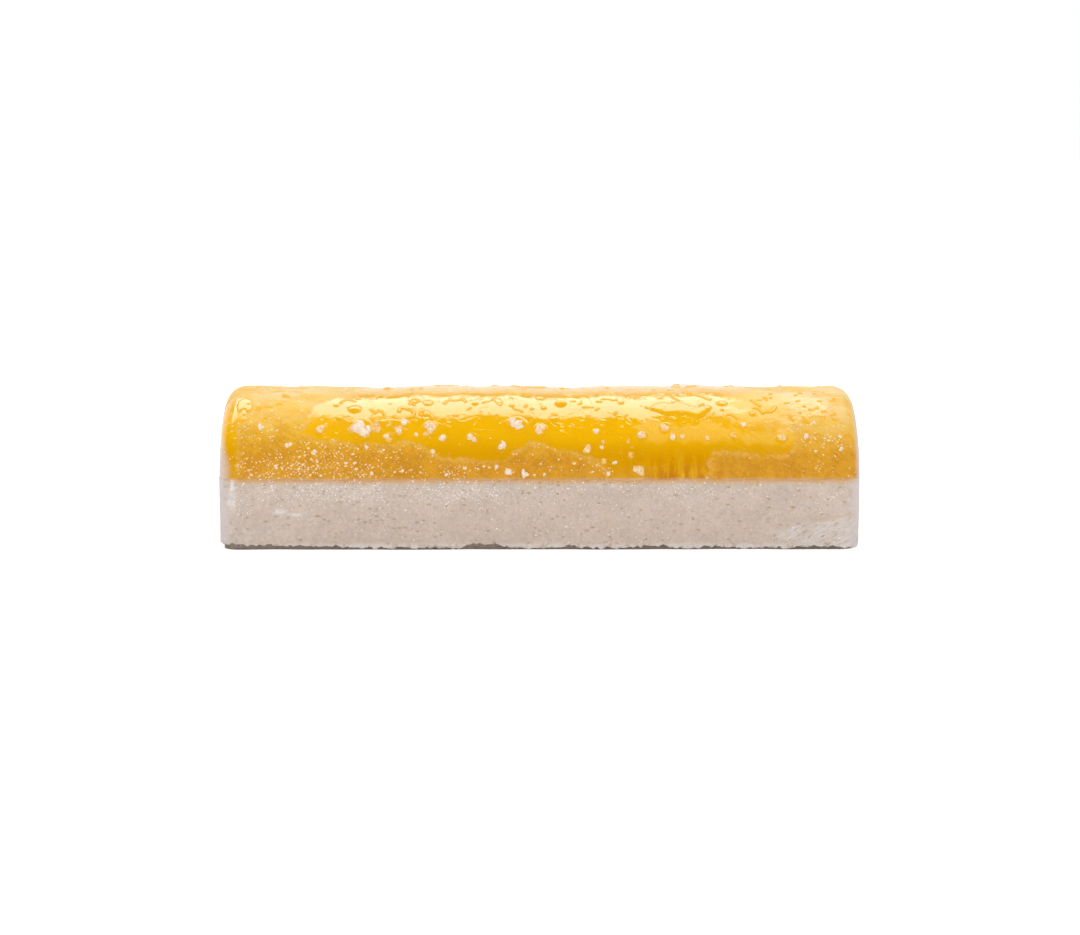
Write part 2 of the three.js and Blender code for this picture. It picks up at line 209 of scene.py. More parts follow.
# Haze on the wet sheet: a very thin frost that dulls it.
HAZE_OUTLINES = [
    [
        (37.2, 0.73), (42.5, 0.84), (46.2, 0.81), (52.4, 0.76), (58.6, 0.74), (64.1, 0.81), (68.5, 0.76),
        (77.3, 0.7), (86.1, 0.63), (94, 0.72), (99, 0.6), (94, 0.52), (85, 0.55), (81.4, 0.53), (77, 0.57),
        (68.1, 0.58), (59.2, 0.57), (50.4, 0.58), (41.5, 0.55),
    ],
    [(75, 0.78), (84, 0.76), (93, 0.84), (99, 1.0), (95, 1.3), (84, 1.36), (79, 1.3), (72, 1.22), (80, 1.14),
     (74, 1.06), (82, 0.98), (76, 0.9)],
]
# Where the fruit layer is combed upright, and where its gloss is broken up by half-frozen melt.
COMBED = [(55, 0.16, 17, 0.2, 1.0)]
BROKEN = [(101, 1.05, 20, 0.4, 1.0), (-103, 1.0, 14, 0.3, 0.7), (-2, 1.45, 110, 0.12, 0.8)]
# Patches of thin film on the fruit layer.
FILM_PATCHES = [
    (110, 1.3, 24, 0.45, 1.0), (-98, 1.4, 27, 0.34, 0.8), (-2, 1.62, 140, 0.3, 0.55), (-2, 1.5, 140, 0.14, 0.3),
]
# White smears on the cream: along, level, half width, half height, share.
CREAM_SMEARS = [
    (-101, 15.2, 2.4, 0.8, 1.9), (-95.5, 14.2, 3, 0.5, 1.4), (-119.1, 22.6, 1.0, 4.6, 1.8),
    (-119.6, 18.6, 1.8, 1.6, 1.9), (-112, 4.4, 7, 1.6, 0.35), (-109, 7, 10, 2.2, 0.2), (-30, 23, 14, 3, 0.18),
    (-70, 22, 16, 4, 0.15), (104, 3.5, 9, 2, 0.3), (117, 9, 3, 8, 0.35), (60, 20, 9, 3, 0.12),
]
# Places on the cream where the knife dragged: along, level, half width, half height, share.
DRAG_MARKS = [(-114, 6, 9, 5, 0.7), (20, 3, 30, 2, 0.25)]
# The block of cream that the knife smeared at the right end: along, level.
SCRAPED = [(88, 7), (99, 9.6), (108, 11.2), (118, 13), (132, 13.6), (132, -2), (112, -2), (98, 1.5)]
SCRAPED_BLUR = 2.4
OUTLINE_BLUR = 5  # over which the wetness and the haze come and go
BEHIND = 50  # a level that is outside every mark of the front
BACK_ARC = 200  # from which the skin coordinate of the back wall counts down, clear of the front's

FRONT = SimpleNamespace(side=0, chips=FRONT_CHIPS)
BACK = SimpleNamespace(side=1, chips=BACK_CHIPS)


def length(name, description, default):
    return FloatProperty(name=name, description=description, default=default, unit="LENGTH")


def colour(name, description, default):
    return FloatVectorProperty(
        name=name, description=description, default=default, subtype="COLOR", size=3, min=0, max=1)


class LogSizes(bpy.types.PropertyGroup):
    """The log's outer sizes, as the solids have them"""

    length: length("Length", "Length of the log", SPAN[0])
    width: length("Width", "Width of the log at its walls", 0.074)
    height: length("Height", "Height of the dome, without grains", 0.059)
    layer_level: length("Layer level", "Height of the line where cream and fruit meet", 0.0277)
    rounding: length("End rounding", "Radius of the edges round the ends", 0.0075)
    foot_inset: length("Foot inset", "How far the base stands in under the lower edge", 0.0016)
    lower_edge: length("Lower edge", "Height of the rough lower edge of the cream", 0.0009)


class FrostSettings(bpy.types.PropertyGroup):
    """How much frost there is and how fine the surfaces are"""

    fruit_specks: FloatProperty(
        name="Specks on fruit", description="Specks on a square centimetre of the densest patch", default=36)
    cream_specks: FloatProperty(
        name="Specks on cream", description="Specks on a square centimetre of the densest patch", default=26)
    speck_size: length("Speck size", "Size of the largest speck", 0.00085)
    pitch: length("Mesh pitch", "Size of a facet of the two layers", 0.0006)
    seed: IntProperty(name="Seed", description="Start of everything random", default=5)


class LogColours(bpy.types.PropertyGroup):
    """Colours of the ices and the stage"""

    wet_fruit: colour("Wet fruit ice", "Fruit ice under a film of melt", (1.0, 0.515, 0.001))
    dry_fruit: colour("Dry fruit ice", "Fruit ice under a thin frost", (0.81, 0.36, 0.004))
    cream: colour("Cream ice", "Cream ice", (0.74, 0.612, 0.518))
    pore: colour("Pore", "Small pores in the cream", (0.57, 0.36, 0.16))
    frost: colour("Frost", "Grains of ice, and specks of frost on the fruit", (1.0, 0.86, 0.73))
    cold_frost: colour("Cold frost", "Specks of frost on the cream", (0.95, 0.91, 0.92))
    film: colour("Film", "A thin frosty film over the fruit ice", (1.0, 0.8, 0.42))
    # Partly rime, partly a painted sheen: the rounded ends are made paler and whiter for the grazing light they
    # catch.
    rime: colour("Rime", "The whitish rime round the ends", (0.78, 0.72, 0.73))
    # The foot colour is painted shade for the recess under the lower edge, not the colour of a damp foot.
    foot: colour("Foot", "The damp foot under the lower edge", (0.42, 0.32, 0.26))
    floor: colour("Floor", "The floor under the log", (0.92, 0.92, 0.92))


# ---------------------------------------------------------------- shape maths, in millimetres


def stream(seed):
    """A repeatable stream of numbers from 0 to 1, the same as the solids were drawn with."""
    full = 0xFFFFFFFF
    state = seed & full
    while True:
        state = (state + 0x6D2B79F5) & full
        mixed = ((state ^ (state >> 15)) * (state | 1)) & full
        mixed ^= (mixed + (((mixed ^ (mixed >> 7)) * (mixed | 61)) & full)) & full
        yield ((mixed ^ (mixed >> 14)) & full) / 4294967296


def between(ends, share):
    return ends[0] + (ends[1] - ends[0]) * share


def waves(table, along, angle):
    return sum(height * np.sin(2 * math.pi * along / span + turns * angle + start)
               for height, span, turns, start in table)


def log_form(context):
    """The sizes in millimetres, with those that follow from them."""
    sizes = context.scene.log_sizes
    form = SimpleNamespace(
        half=sizes.length / MM / 2, radius=sizes.width / MM / 2, layer=sizes.layer_level / MM,
        rounding=sizes.rounding / MM, foot_inset=sizes.foot_inset / MM, lower_edge=sizes.lower_edge / MM)
    form.wall = sizes.height / MM - form.radius
    form.straight = form.half - form.rounding
    return form


def surface_point(form, along, angle, inset=0.0, face=1.0):
    """A point of the outer surface: angle 0 where the dome springs from the front wall, pi at the back."""
    along, angle = np.broadcast_arrays(np.asarray(along, float), np.asarray(angle, float))
    reach = form.radius - inset + face * waves(SURFACE_WAVES, along, angle)
    on_arch = np.clip(angle, 0, math.pi)
    below = np.abs(angle - on_arch) * form.radius
    return np.stack([along, -reach * np.cos(on_arch), form.wall + reach * np.sin(on_arch) - below], -1)


def skin_point(form, skin, angle, out=0.0):
    """The same by the way along the skin, which turns round the rounded ends, and the distance out from it."""
    skin, angle = np.broadcast_arrays(np.asarray(skin, float), np.asarray(angle, float))
    turn = np.clip((np.abs(skin) - form.straight) / form.rounding, 0, math.pi / 2)
    side, on_arch = np.sign(skin), np.clip(angle, 0, math.pi)
    along = side * (np.minimum(np.abs(skin), form.straight) + form.rounding * np.sin(turn))
    point = surface_point(form, along, angle, form.rounding * (1 - np.cos(turn)), np.cos(turn))
    way = np.stack(
        [side * np.sin(turn), -np.cos(turn) * np.cos(on_arch), np.cos(turn) * np.sin(on_arch)], -1)
    return point + np.asarray(out)[..., None] * way


def angle_at_level(form, level, inset):
    above = level - form.wall
    arch = np.arcsin(np.clip(above / np.maximum(form.radius - inset, 1e-6), -1, 1))
    return np.where(above > 0, arch, above / form.radius)


def evened(values, other, share):
    """Front and back values that come together towards the middle of an end."""
    return values + (other - values) * share / 2


def layer_level(form, rows, part):
    mine, other = (form.layer + waves(LAYER_WAVES, rows.along, side) for side in (part.side, 1 - part.side))
    return evened(mine, other, rows.capped)


def lower_edge(form, rows, part):
    def edge(side, chips):
        cuts = [h * np.maximum(0, 1 - ((rows.along - middle) / reach) ** 2) for middle, reach, h in chips]
        return form.lower_edge + waves(EDGE_WAVES, rows.along, side) + np.max(cuts, axis=0)

    other = BACK if part is FRONT else FRONT
    return evened(edge(part.side, part.chips), edge(other.side, other.chips), rows.capped)


def section_rows(form, pitch, deepest):
    """Where the sections stand, from the middle of the left end to that of the right end.

    Along the log they are plain; then they turn round the rounded edge, and on the flat end each is drawn in
    further. Skin is the way along the surface, and capped runs from 0 at the rounding to 1 at the end's middle."""
    even = np.linspace(0, form.straight, round(form.straight / pitch) + 1)
    turn = np.linspace(0, math.pi / 2, round(form.rounding * math.pi / 2 / pitch) + 1)[1:]
    flat = np.linspace(form.rounding, deepest, round((deepest - form.rounding) / (1.5 * pitch)) + 1)[1:]
    quarter = math.pi / 2
    half = {
        "along": [even, form.straight + form.rounding * np.sin(turn), np.full(len(flat), form.half)],
        "inset": [even * 0, form.rounding * (1 - np.cos(turn)), flat],
        "turn": [even * 0, turn, np.full(len(flat), quarter)],
        "skin": [even, form.straight + form.rounding * turn,
                 form.straight + form.rounding * (quarter - 1) + flat],
        "capped": [even * 0, turn * 0, (flat - form.rounding) / (deepest - form.rounding)],
    }
    half = {name: np.concatenate(parts) for name, parts in half.items()}
    odd = ("along", "turn", "skin")
    full = {n: np.concatenate([(-v if n in odd else v)[:0:-1], v]) for n, v in half.items()}
    return SimpleNamespace(face=np.cos(full["turn"]), **full)


def path_distance(points, path):
    """How far each point is from a path."""
    nearest = np.full(len(points), np.inf)
    for (ax, ay), (bx, by) in zip(path[:-1], path[1:]):
        dx, dy = bx - ax, by - ay
        share = np.clip(((points[:, 0] - ax) * dx + (points[:, 1] - ay) * dy) / (dx * dx + dy * dy), 0, 1)
        off = np.hypot(points[:, 0] - ax - share * dx, points[:, 1] - ay - share * dy)
        nearest = np.minimum(nearest, off)
    return nearest


def outline_distance(points, outline):
    """How far each point is inside an outline; negative outside it."""
    corner = np.asarray(outline, float)
    inside = np.zeros(len(points), bool)
    for (ax, ay), (bx, by) in zip(corner, np.roll(corner, -1, 0)):
        crosses = (ay > points[:, 1]) != (by > points[:, 1])
        inside ^= crosses & (points[:, 0] < (bx - ax) * (points[:, 1] - ay) / (by - ay or 1e-9) + ax)
    nearest = path_distance(points, np.concatenate([corner, corner[:1]]))
    return np.where(inside, nearest, -nearest)


def softened(outline, closed=True, rounds=2):
    """An outline or path with its corners cut off."""
    corner = np.asarray(outline, float)
    for _ in range(rounds):
        ahead = np.roll(corner, -1, 0) if closed else corner[1:]
        base = corner if closed else corner[:-1]
        cut = np.stack([base * 0.75 + ahead * 0.25, base * 0.25 + ahead * 0.75], 1).reshape(-1, 2)
        corner = cut if closed else np.concatenate([corner[:1], cut, corner[-1:]])
    return corner


def inside_share(outline, skin, way, scale, blur):
    """1 well inside an outline of (skin, way) and 0 well outside, 0.5 on it.

    The scale makes a way millimetres."""
    points = np.stack([np.ravel(skin), np.ravel(way) * scale], 1)
    depth = outline_distance(points, [(x, y * scale) for x, y in outline])
    return np.clip(0.5 + depth / blur, 0, 1).reshape(np.shape(skin))


def most_inside(form, outlines, skin, angle):
    """The same for the outline that a point is deepest in."""
    return np.max([inside_share(o, skin, angle, form.radius, OUTLINE_BLUR) for o in outlines], axis=0)


def is_wet(form, along, angle):
    return most_inside(form, WET_OUTLINES, np.array([along]), np.array([angle]))[0] > 0.5


def patches(table, skin, way):
    """The most that any of the soft patches gives at each point."""
    return np.max([amount * np.exp(-((skin - x) / wide) ** 2 - ((way - y) / high) ** 2)
                   for x, y, wide, high, amount in table], axis=0)


def rime_and_sheen_share(skin, start, width, left, right):
    """Rime and painted sheen on the rounded edges: it comes in over a width from its start, and thins out on the
    flat ends.
    """
    coming = np.clip((np.abs(skin) - start) / width, 0, 1)
    thinning = 1 - 0.75 * np.clip((np.abs(skin) - 128) / 5, 0, 1)
    return coming * np.where(skin < 0, left, right) * thinning


# ---------------------------------------------------------------- the two layers as meshes


def fruit_grid(form, pitch):
    """The dome down to the layer line: points by section, with their skin coordinates and angles."""
    rows = section_rows(form, pitch, form.radius - (form.layer - form.wall))
    front = angle_at_level(form, layer_level(form, rows, FRONT), rows.inset)[:, None]
    back = math.pi - angle_at_level(form, layer_level(form, rows, BACK), rows.inset)[:, None]
    steps = round(form.radius * 2.8 / pitch)  # the arc is about 2.8 radii long
    share = np.linspace(0, 1, steps)
    share = share * (0.86 + 0.14 * share)  # finer in front
    angle = front + (back - front) * share
    points = surface_point(form, rows.along[:, None], angle, rows.inset[:, None], rows.face[:, None])
    points[[0, -1]] = points[[0, -1]].mean(1, keepdims=True)
    skin = np.broadcast_to(rows.skin[:, None], angle.shape)
    return points, skin, angle


def cream_side(form, rows, part, pitch):
    """One side of the cream, from the foot out under the lip and up the wall to under the fruit layer."""
    edge, top = lower_edge(form, rows, part), layer_level(form, rows, part)
    steps = round((form.layer - form.lower_edge) / pitch)
    start = edge + 0.4
    wall = [(0.0, start + (top - edge - 0.4) * k / steps) for k in range(steps + 1)]
    below = [(form.foot_inset, edge * 0), (form.foot_inset, edge), (0.5, edge), (0.14, edge + 0.1)]
    columns = []
    for drawn_in, level in [*below, *wall, (0.7, top + 0.8)]:
        angle = angle_at_level(form, level, rows.inset)
        point = surface_point(form, rows.along, angle, rows.inset, rows.face)
        point[:, 0] -= drawn_in * np.sin(rows.turn)
        point[:, 1] += drawn_in * np.cos(rows.turn)
        point[:, 1] *= 1 - (rows.capped == 1)
        if part is BACK:
            point[:, 1] *= -1
        columns.append((point, angle if part is FRONT else math.pi - angle))
    return np.stack([c[0] for c in columns], 1), np.stack([c[1] for c in columns], 1)


def cream_grid(form, pitch):
    rows = section_rows(form, pitch, form.radius)
    front, front_angle = cream_side(form, rows, FRONT, pitch)
    back, back_angle = cream_side(form, rows, BACK, pitch)
    points = np.concatenate([front, back[:, ::-1]], 1)
    angle = np.concatenate([front_angle, back_angle[:, ::-1]], 1)
    return points, np.broadcast_to(rows.skin[:, None], angle.shape), angle


def store(mesh, name, values, kind="FLOAT"):
    attribute = mesh.attributes.new(name, kind, "POINT")
    field = "value" if kind == "FLOAT" else "vector"
    attribute.data.foreach_set(field, np.ascontiguousarray(values, np.float32).ravel())


def grid_piece(name, points, attributes, flat_columns):
    """A closed mesh through sections of points. The flat columns of faces are flat-shaded, and points that meet at
    the ends are merged."""
    count, width = points.shape[:2]
    row, column = np.meshgrid(np.arange(count - 1), np.arange(width), indexing="ij")
    near, far = row * width + column, row * width + (column + 1) % width
    faces = np.stack([near, far, far + width, near + width], -1).reshape(-1, 4)
    mesh = bpy.data.meshes.new(name)
    mesh.from_pydata((points.reshape(-1, 3) * MM).tolist(), [], faces.tolist())
    flat = np.isin(column.ravel(), flat_columns)
    mesh.polygons.foreach_set("use_smooth", ~flat)
    for key, values in attributes.items():
        store(mesh, key, values, "FLOAT_VECTOR" if np.ndim(values) == 3 else "FLOAT")
    shaped = bmesh.new()
    shaped.from_mesh(mesh)
    bmesh.ops.remove_doubles(shaped, verts=shaped.verts, dist=1e-7)
    bmesh.ops.recalc_face_normals(shaped, faces=shaped.faces)
    shaped.to_mesh(mesh)
    shaped.free()
    return link(name, mesh)


def link(name, mesh):
    piece = bpy.data.objects.new(name, mesh)
    bpy.context.scene.collection.objects.link(piece)
    return piece


# ---------------------------------------------------------------- node trees


def add(tree, kind, inputs=None, **settings):
    """One node: its settings, then its inputs by name or number, each a value or another node's socket."""
    made = tree.nodes.new(kind)
    for name, value in settings.items():
        setattr(made, name, value)
    for key, value in (inputs or {}).items():
        if isinstance(value, bpy.types.NodeSocket):
            tree.links.new(value, made.inputs[key])
        else:
            made.inputs[key].default_value = value
    return made


def calc(tree, operation, *values, clamp=False):
    return add(tree, "ShaderNodeMath", dict(enumerate(values)), operation=operation, use_clamp=clamp).outputs[0]


def plus(tree, first, second):
    return calc(tree, "ADD", first, second)


def times(tree, first, *others):
    """The product of all the values."""
    for other in others:
        first = calc(tree, "MULTIPLY", first, other)
    return first


def most(tree, first, *others):
    """The largest of the values."""
    for other in others:
        first = calc(tree, "MAXIMUM", first, other)
    return first


def rest(tree, share):
    """What a share leaves of 1."""
    return calc(tree, "SUBTRACT", 1.0, share)


def scaled(tree, value, factor, shift):
    """The value times the factor, plus the shift."""
    return calc(tree, "MULTIPLY_ADD", value, factor, shift)


def centred(tree, value, height):
    """A noise from 0 to 1 as a height of either sign."""
    return times(tree, calc(tree, "SUBTRACT", value, 0.5), height)


def vector_times(tree, vector, factors):
    return add(tree, "ShaderNodeVectorMath", {0: vector, 1: factors}, operation="MULTIPLY").outputs[0]


def vector_scaled(tree, vector, factor):
    return add(tree, "ShaderNodeVectorMath", {0: vector, "Scale": factor}, operation="SCALE").outputs[0]


def eased(tree, value, low, high, start=0.0, end=1.0):
    """Goes smoothly from start to end as the value goes from low to high."""
    return add(tree, "ShaderNodeMapRange", {0: value, 1: low, 2: high, 3: start, 4: end},
               interpolation_type="SMOOTHSTEP").outputs[0]


def noise(tree, vector, size, detail=2.0, seed=0.0, roughness=0.5, distortion=0.0):
    """Noise from 0 to 1 whose blotches are about that size in metres, a number or a socket."""
    scale = calc(tree, "DIVIDE", 1.0, size) if isinstance(size, bpy.types.NodeSocket) else 1 / size
    return add(tree, "ShaderNodeTexNoise", {
        "Vector": vector, "W": seed, "Scale": scale, "Detail": detail, "Roughness": roughness,
        "Distortion": distortion}, noise_dimensions="4D").outputs[0]


def blend(tree, share, first, second):
    return add(tree, "ShaderNodeMix", {0: share, 6: first, 7: second}, data_type="RGBA").outputs[2]


def vector_length(tree, vector):
    return add(tree, "ShaderNodeVectorMath", {0: vector}, operation="LENGTH").outputs["Value"]


def new_tree(name, kind, inputs, outputs):
    """A node group with named inputs and outputs; inputs are (name, socket type, default)."""
    tree = bpy.data.node_groups.new(name, kind)
    for label, socket, default in inputs:
        made = tree.interface.new_socket(name=label, in_out="INPUT", socket_type=socket)
        if default is not None:
            made.default_value = default
    for label, socket in outputs:
        tree.interface.new_socket(name=label, in_out="OUTPUT", socket_type=socket)
    return tree, tree.nodes.new("NodeGroupInput").outputs, tree.nodes.new("NodeGroupOutput").inputs


GEOMETRY = ("Geometry", "NodeSocketGeometry", None)
MATERIAL = ("Material", "NodeSocketMaterial", None)
GEOMETRY_OUT = [("Geometry", "NodeSocketGeometry")]


def number_input(name, default):
    return (name, "NodeSocketFloat", default)


def relief_inputs(name, height, size):
    """The height and the size of one kind of relief, in metres."""
    return number_input(name + " height", height), number_input(name + " size", size)


def relief(tree, given, name, place, detail=2.0, roughness=0.5):
    """One kind of relief: noise of its size, as a height of either sign."""
    texture = noise(tree, place, given[name + " size"], detail, given["Seed"], roughness)
    return centred(tree, texture, given[name + " height"])


def named(tree, name, kind="FLOAT"):
    return add(tree, "GeometryNodeInputNamedAttribute", {"Name": name}, data_type=kind).outputs[0]


def end_tree(tree, geometry, material, outputs):
    real = add(tree, "GeometryNodeRealizeInstances", {"Geometry": geometry}).outputs[0]
    dressed = add(tree, "GeometryNodeSetMaterial", {"Geometry": real, "Material": material}).outputs[0]
    tree.links.new(dressed, outputs["Geometry"])


def run_tree(piece, tree, **values):
    """Puts the piece through a geometry tree with these input values, and leaves it a plain mesh."""
    modifier = piece.modifiers.new(tree.name, "NODES")
    modifier.node_group = tree
    for name, value in values.items():
        socket = tree.interface.items_tree[name.replace("_", " ").capitalize()]
        modifier[socket.identifier] = value
    depsgraph = bpy.context.evaluated_depsgraph_get()
    mesh = bpy.data.meshes.new_from_object(piece.evaluated_get(depsgraph), depsgraph=depsgraph)
    piece.modifiers.remove(modifier)
    if mesh.materials[0] is None:
        mesh.materials.pop(index=0)
    old, piece.data = piece.data, mesh
    mesh.name = piece.name
    bpy.data.meshes.remove(old)
    return piece


def push_out(tree, geometry, height):
    """Moves every point along its normal by a height."""
    normal = add(tree, "GeometryNodeInputNormal").outputs[0]
    return move(tree, geometry, vector_scaled(tree, normal, height))


def move(tree, geometry, offset):
    return add(tree, "GeometryNodeSetPosition", {"Geometry": geometry, "Offset": offset}).outputs[0]


def fruit_relief_tree():
    """Relief of the fruit layer: slow swells and ripples all over, and grain where it is dry."""
    tree, given, result = new_tree("fruit_relief", "GeometryNodeTree", [
        GEOMETRY, *relief_inputs("Swell", 0.0002, 0.016), *relief_inputs("Ripple", 0.00012, 0.0024),
        *relief_inputs("Grain", 0.00009, 0.0014), number_input("Seed", 1.0), MATERIAL], GEOMETRY_OUT)
    place = add(tree, "GeometryNodeInputPosition").outputs[0]
    smooth = plus(tree, relief(tree, given, "Swell", place), relief(tree, given, "Ripple", place))
    grain = times(tree, rest(tree, named(tree, "wet")), relief(tree, given, "Grain", place, 3.0))
    end_tree(tree, push_out(tree, given["Geometry"], plus(tree, smooth, grain)), given["Material"], result)
    return tree


def cream_relief_tree():
    """Relief of the cream: soft lumps, grain, and ridges where the knife dragged. The base stays flat.

    The lowest stretch of the walls is also moved up and down into crumbs, but never below the base."""
    tree, given, result = new_tree("cream_relief", "GeometryNodeTree", [
        GEOMETRY, *relief_inputs("Lump", 0.00022, 0.011), *relief_inputs("Grain", 0.00009, 0.0016),
        *relief_inputs("Ridge", 0.0007, 0.0024), *relief_inputs("Crumb", 0.0042, 0.0022),
        number_input("Seed", 1.0), MATERIAL], GEOMETRY_OUT)
    place = add(tree, "GeometryNodeInputPosition").outputs[0]
    skin = named(tree, "skin", "FLOAT_VECTOR")
    turned = add(tree, "ShaderNodeVectorRotate", {
        "Vector": skin, "Angle": math.radians(-24)}, rotation_type="Z_AXIS").outputs[0]
    slantwise = vector_times(tree, turned, (0.32, 1, 1))
    level = add(tree, "ShaderNodeSeparateXYZ", {0: place}).outputs[2]
    rough = plus(tree, relief(tree, given, "Lump", place), relief(tree, given, "Grain", place, 3.0))
    dragged = times(tree, named(tree, "drag"), relief(tree, given, "Ridge", slantwise))
    above_base = eased(tree, level, 0.0001, 0.0009)
    height = times(tree, plus(tree, rough, dragged), above_base)
    low = times(tree, eased(tree, level, 0.0001, 0.0006), eased(tree, level, 0.0026, 0.0046, 1.0, 0.0))
    crumb = times(tree, relief(tree, given, "Crumb", skin, 3.0, 0.65), low)
    crumb = most(tree, crumb, times(tree, level, -0.6))
    pushed = push_out(tree, given["Geometry"], height)
    crumbled = move(tree, pushed, add(tree, "ShaderNodeCombineXYZ", {2: crumb}).outputs[0])
    end_tree(tree, crumbled, given["Material"], result)
    return tree


def random_vector(tree, low, high, seed):
    return add(tree, "FunctionNodeRandomValue", {0: low, 1: high, "Seed": seed},
               data_type="FLOAT_VECTOR").outputs[0]


def speck_tree():
    """Specks of frost scattered over a surface, as dense as its frost attribute says."""
    tree, given, result = new_tree("frost_specks", "GeometryNodeTree", [
        GEOMETRY, number_input("Density", 300000.0), number_input("Smallest", 0.00018),
        number_input("Largest", 0.0008), ("Seed", "NodeSocketInt", 1), MATERIAL], GEOMETRY_OUT)
    density = times(tree, named(tree, "frost"), given["Density"])
    spread = add(tree, "GeometryNodeDistributePointsOnFaces", {
        "Mesh": given["Geometry"], "Density": density, "Seed": given["Seed"]}, distribute_method="RANDOM")
    lump = add(tree, "GeometryNodeMeshIcoSphere", {"Radius": 0.5, "Subdivisions": 1}).outputs[0]
    drawn = add(tree, "FunctionNodeRandomValue", {"Seed": given["Seed"]}, data_type="FLOAT").outputs[1]
    size = add(tree, "ShaderNodeMapRange", {
        0: calc(tree, "POWER", drawn, 3.0), 3: given["Smallest"], 4: given["Largest"]}).outputs[0]
    turn = random_vector(tree, (0, 0, 0), (6.283, 6.283, 6.283), given["Seed"])
    stretch = random_vector(tree, (0.55, 0.5, 0.45), (1.5, 1.0, 0.9), given["Seed"])
    placed = add(tree, "GeometryNodeInstanceOnPoints", {
        "Points": spread.outputs[0], "Instance": lump, "Rotation": turn,
        "Scale": vector_scaled(tree, stretch, size)}).outputs[0]
    end_tree(tree, placed, given["Material"], result)
    return tree


def topping_tree():
    """Sets one of a collection's shapes at every point, with the point's own turn and scale."""
    tree, given, result = new_tree("toppings", "GeometryNodeTree", [
        GEOMETRY, ("Shapes", "NodeSocketCollection", None), number_input("Rough height", 0.0001),
        number_input("Rough size", 0.0008), MATERIAL], GEOMETRY_OUT)
    shapes = add(tree, "GeometryNodeCollectionInfo", {
        "Collection": given["Shapes"], "Separate Children": True, "Reset Children": True}).outputs[0]
    turn = add(tree, "FunctionNodeEulerToRotation", {0: named(tree, "turn", "FLOAT_VECTOR")}).outputs[0]
    points = add(tree, "GeometryNodeMeshToPoints", {"Mesh": given["Geometry"]}).outputs[0]
    placed = add(tree, "GeometryNodeInstanceOnPoints", {
        "Points": points, "Instance": shapes, "Pick Instance": True, "Rotation": turn,
        "Scale": named(tree, "scale", "FLOAT_VECTOR")}).outputs[0]
    real = add(tree, "GeometryNodeRealizeInstances", {"Geometry": placed}).outputs[0]
    rough = noise(tree, add(tree, "GeometryNodeInputPosition").outputs[0], given["Rough size"])
    shaped = push_out(tree, real, centred(tree, rough, given["Rough height"]))
    end_tree(tree, shaped, given["Material"], result)
    return tree


# ---------------------------------------------------------------- materials

# Tints that are laid over the panel's colours. The fruit ice: torn gloss, borders of melt painted dark as a
# reflection, frost high up, painted glints, the pale rim round the melt, haze, painted shade and highlight where
# it is combed, and dots of frost with their painted glint.
TORN_GOLD = (1.0, 0.68, 0.24, 1)
SHADED_SHORE_GOLD = (0.86, 0.44, 0.0, 1)
FROSTY_GOLD = (1.0, 0.69, 0.18, 1)
GLINT_GOLD = (1.0, 0.68, 0.22, 1)
RIM_GOLD = (1.0, 0.58, 0.12, 1)
HAZE_GOLD = (1.0, 0.6, 0.08, 1)
COMB_FURROW_SHADE = (0.68, 0.24, 0.0, 1)
COMB_RIDGE_HIGHLIGHT = (1.0, 0.6, 0.1, 1)
FRUIT_DOT = (1.0, 0.83, 0.58, 1)
FRUIT_DOT_PAINTED_GLINT = (0.32, 0.24, 0.14, 1)
# The cream: warm clouds, the stain over the scraped block, everything white on it, and the painted glint of its
# dots.
WARM_CREAM = (0.74, 0.52, 0.36, 1)
BRIM_STAIN = (0.78, 0.5, 0.26, 1)
WHITE_CREAM = (0.95, 0.88, 0.85, 1)
CREAM_DOT_PAINTED_GLINT = (0.24, 0.23, 0.24, 1)
# Half-melted grains: the clear foot, and the dents that show the fruit ice.
CLEAR_FOOT = (0.98, 0.56, 0.1, 1)
CLEAR_DENT = (0.93, 0.6, 0.25, 1)
BLACK = (0, 0, 0, 1)


def new_material(name, **settings):
    """A material with the fixed values of its Principled shader set."""
    material = bpy.data.materials.new(name)
    material.use_nodes = True
    tree = material.node_tree
    shader = tree.nodes["Principled BSDF"]
    for key, value in settings.items():
        shader.inputs[key.replace("_", " ")].default_value = value
    return material, tree, shader


def attribute(tree, name, output="Fac"):
    return add(tree, "ShaderNodeAttribute", attribute_name=name).outputs[output]


def object_place(tree):
    return add(tree, "ShaderNodeTexCoord").outputs["Object"]


def part_of(tree, vector, index):
    """The x, y or z of a vector, as index 0, 1 or 2."""
    return add(tree, "ShaderNodeSeparateXYZ", {0: vector}).outputs[index]


def rgba(values):
    return (*values, 1.0)


def toned(values, *factors):
    """A colour made lighter or darker, by one factor or by one for each channel."""
    factors = factors * 3 if len(factors) == 1 else factors
    return rgba([min(1, value * factor) for value, factor in zip(values, factors)])


def squeezed(tree, vector, along=1.0, across=1.0):
    """A vector scaled along and across the log: a texture read by it comes out longer by the inverse."""
    return add(tree, "ShaderNodeMapping", {"Vector": vector, "Scale": (along, across, 1)}).outputs[0]


def slanted(tree, vector, degrees, stretch):
    """A vector by which a texture comes out stretched along a slanting way."""
    return add(tree, "ShaderNodeMapping", {
        "Vector": vector, "Rotation": (0, 0, math.radians(degrees)), "Scale": (stretch, 1, 1)},
        vector_type="TEXTURE").outputs[0]


def light_up(tree, shader, colour, strength=1.0):
    """Painted light: a glow of its own, which stands in for the light that comes through ice from behind and for
    glints.
    """
    tree.links.new(colour, shader.inputs["Emission Color"])
    shader.inputs["Emission Strength"].default_value = strength


def bump(tree, shader, height, distance):
    made = add(tree, "ShaderNodeBump", {"Height": height, "Distance": distance})
    tree.links.new(made.outputs[0], shader.inputs["Normal"])
    return made.outputs[0]


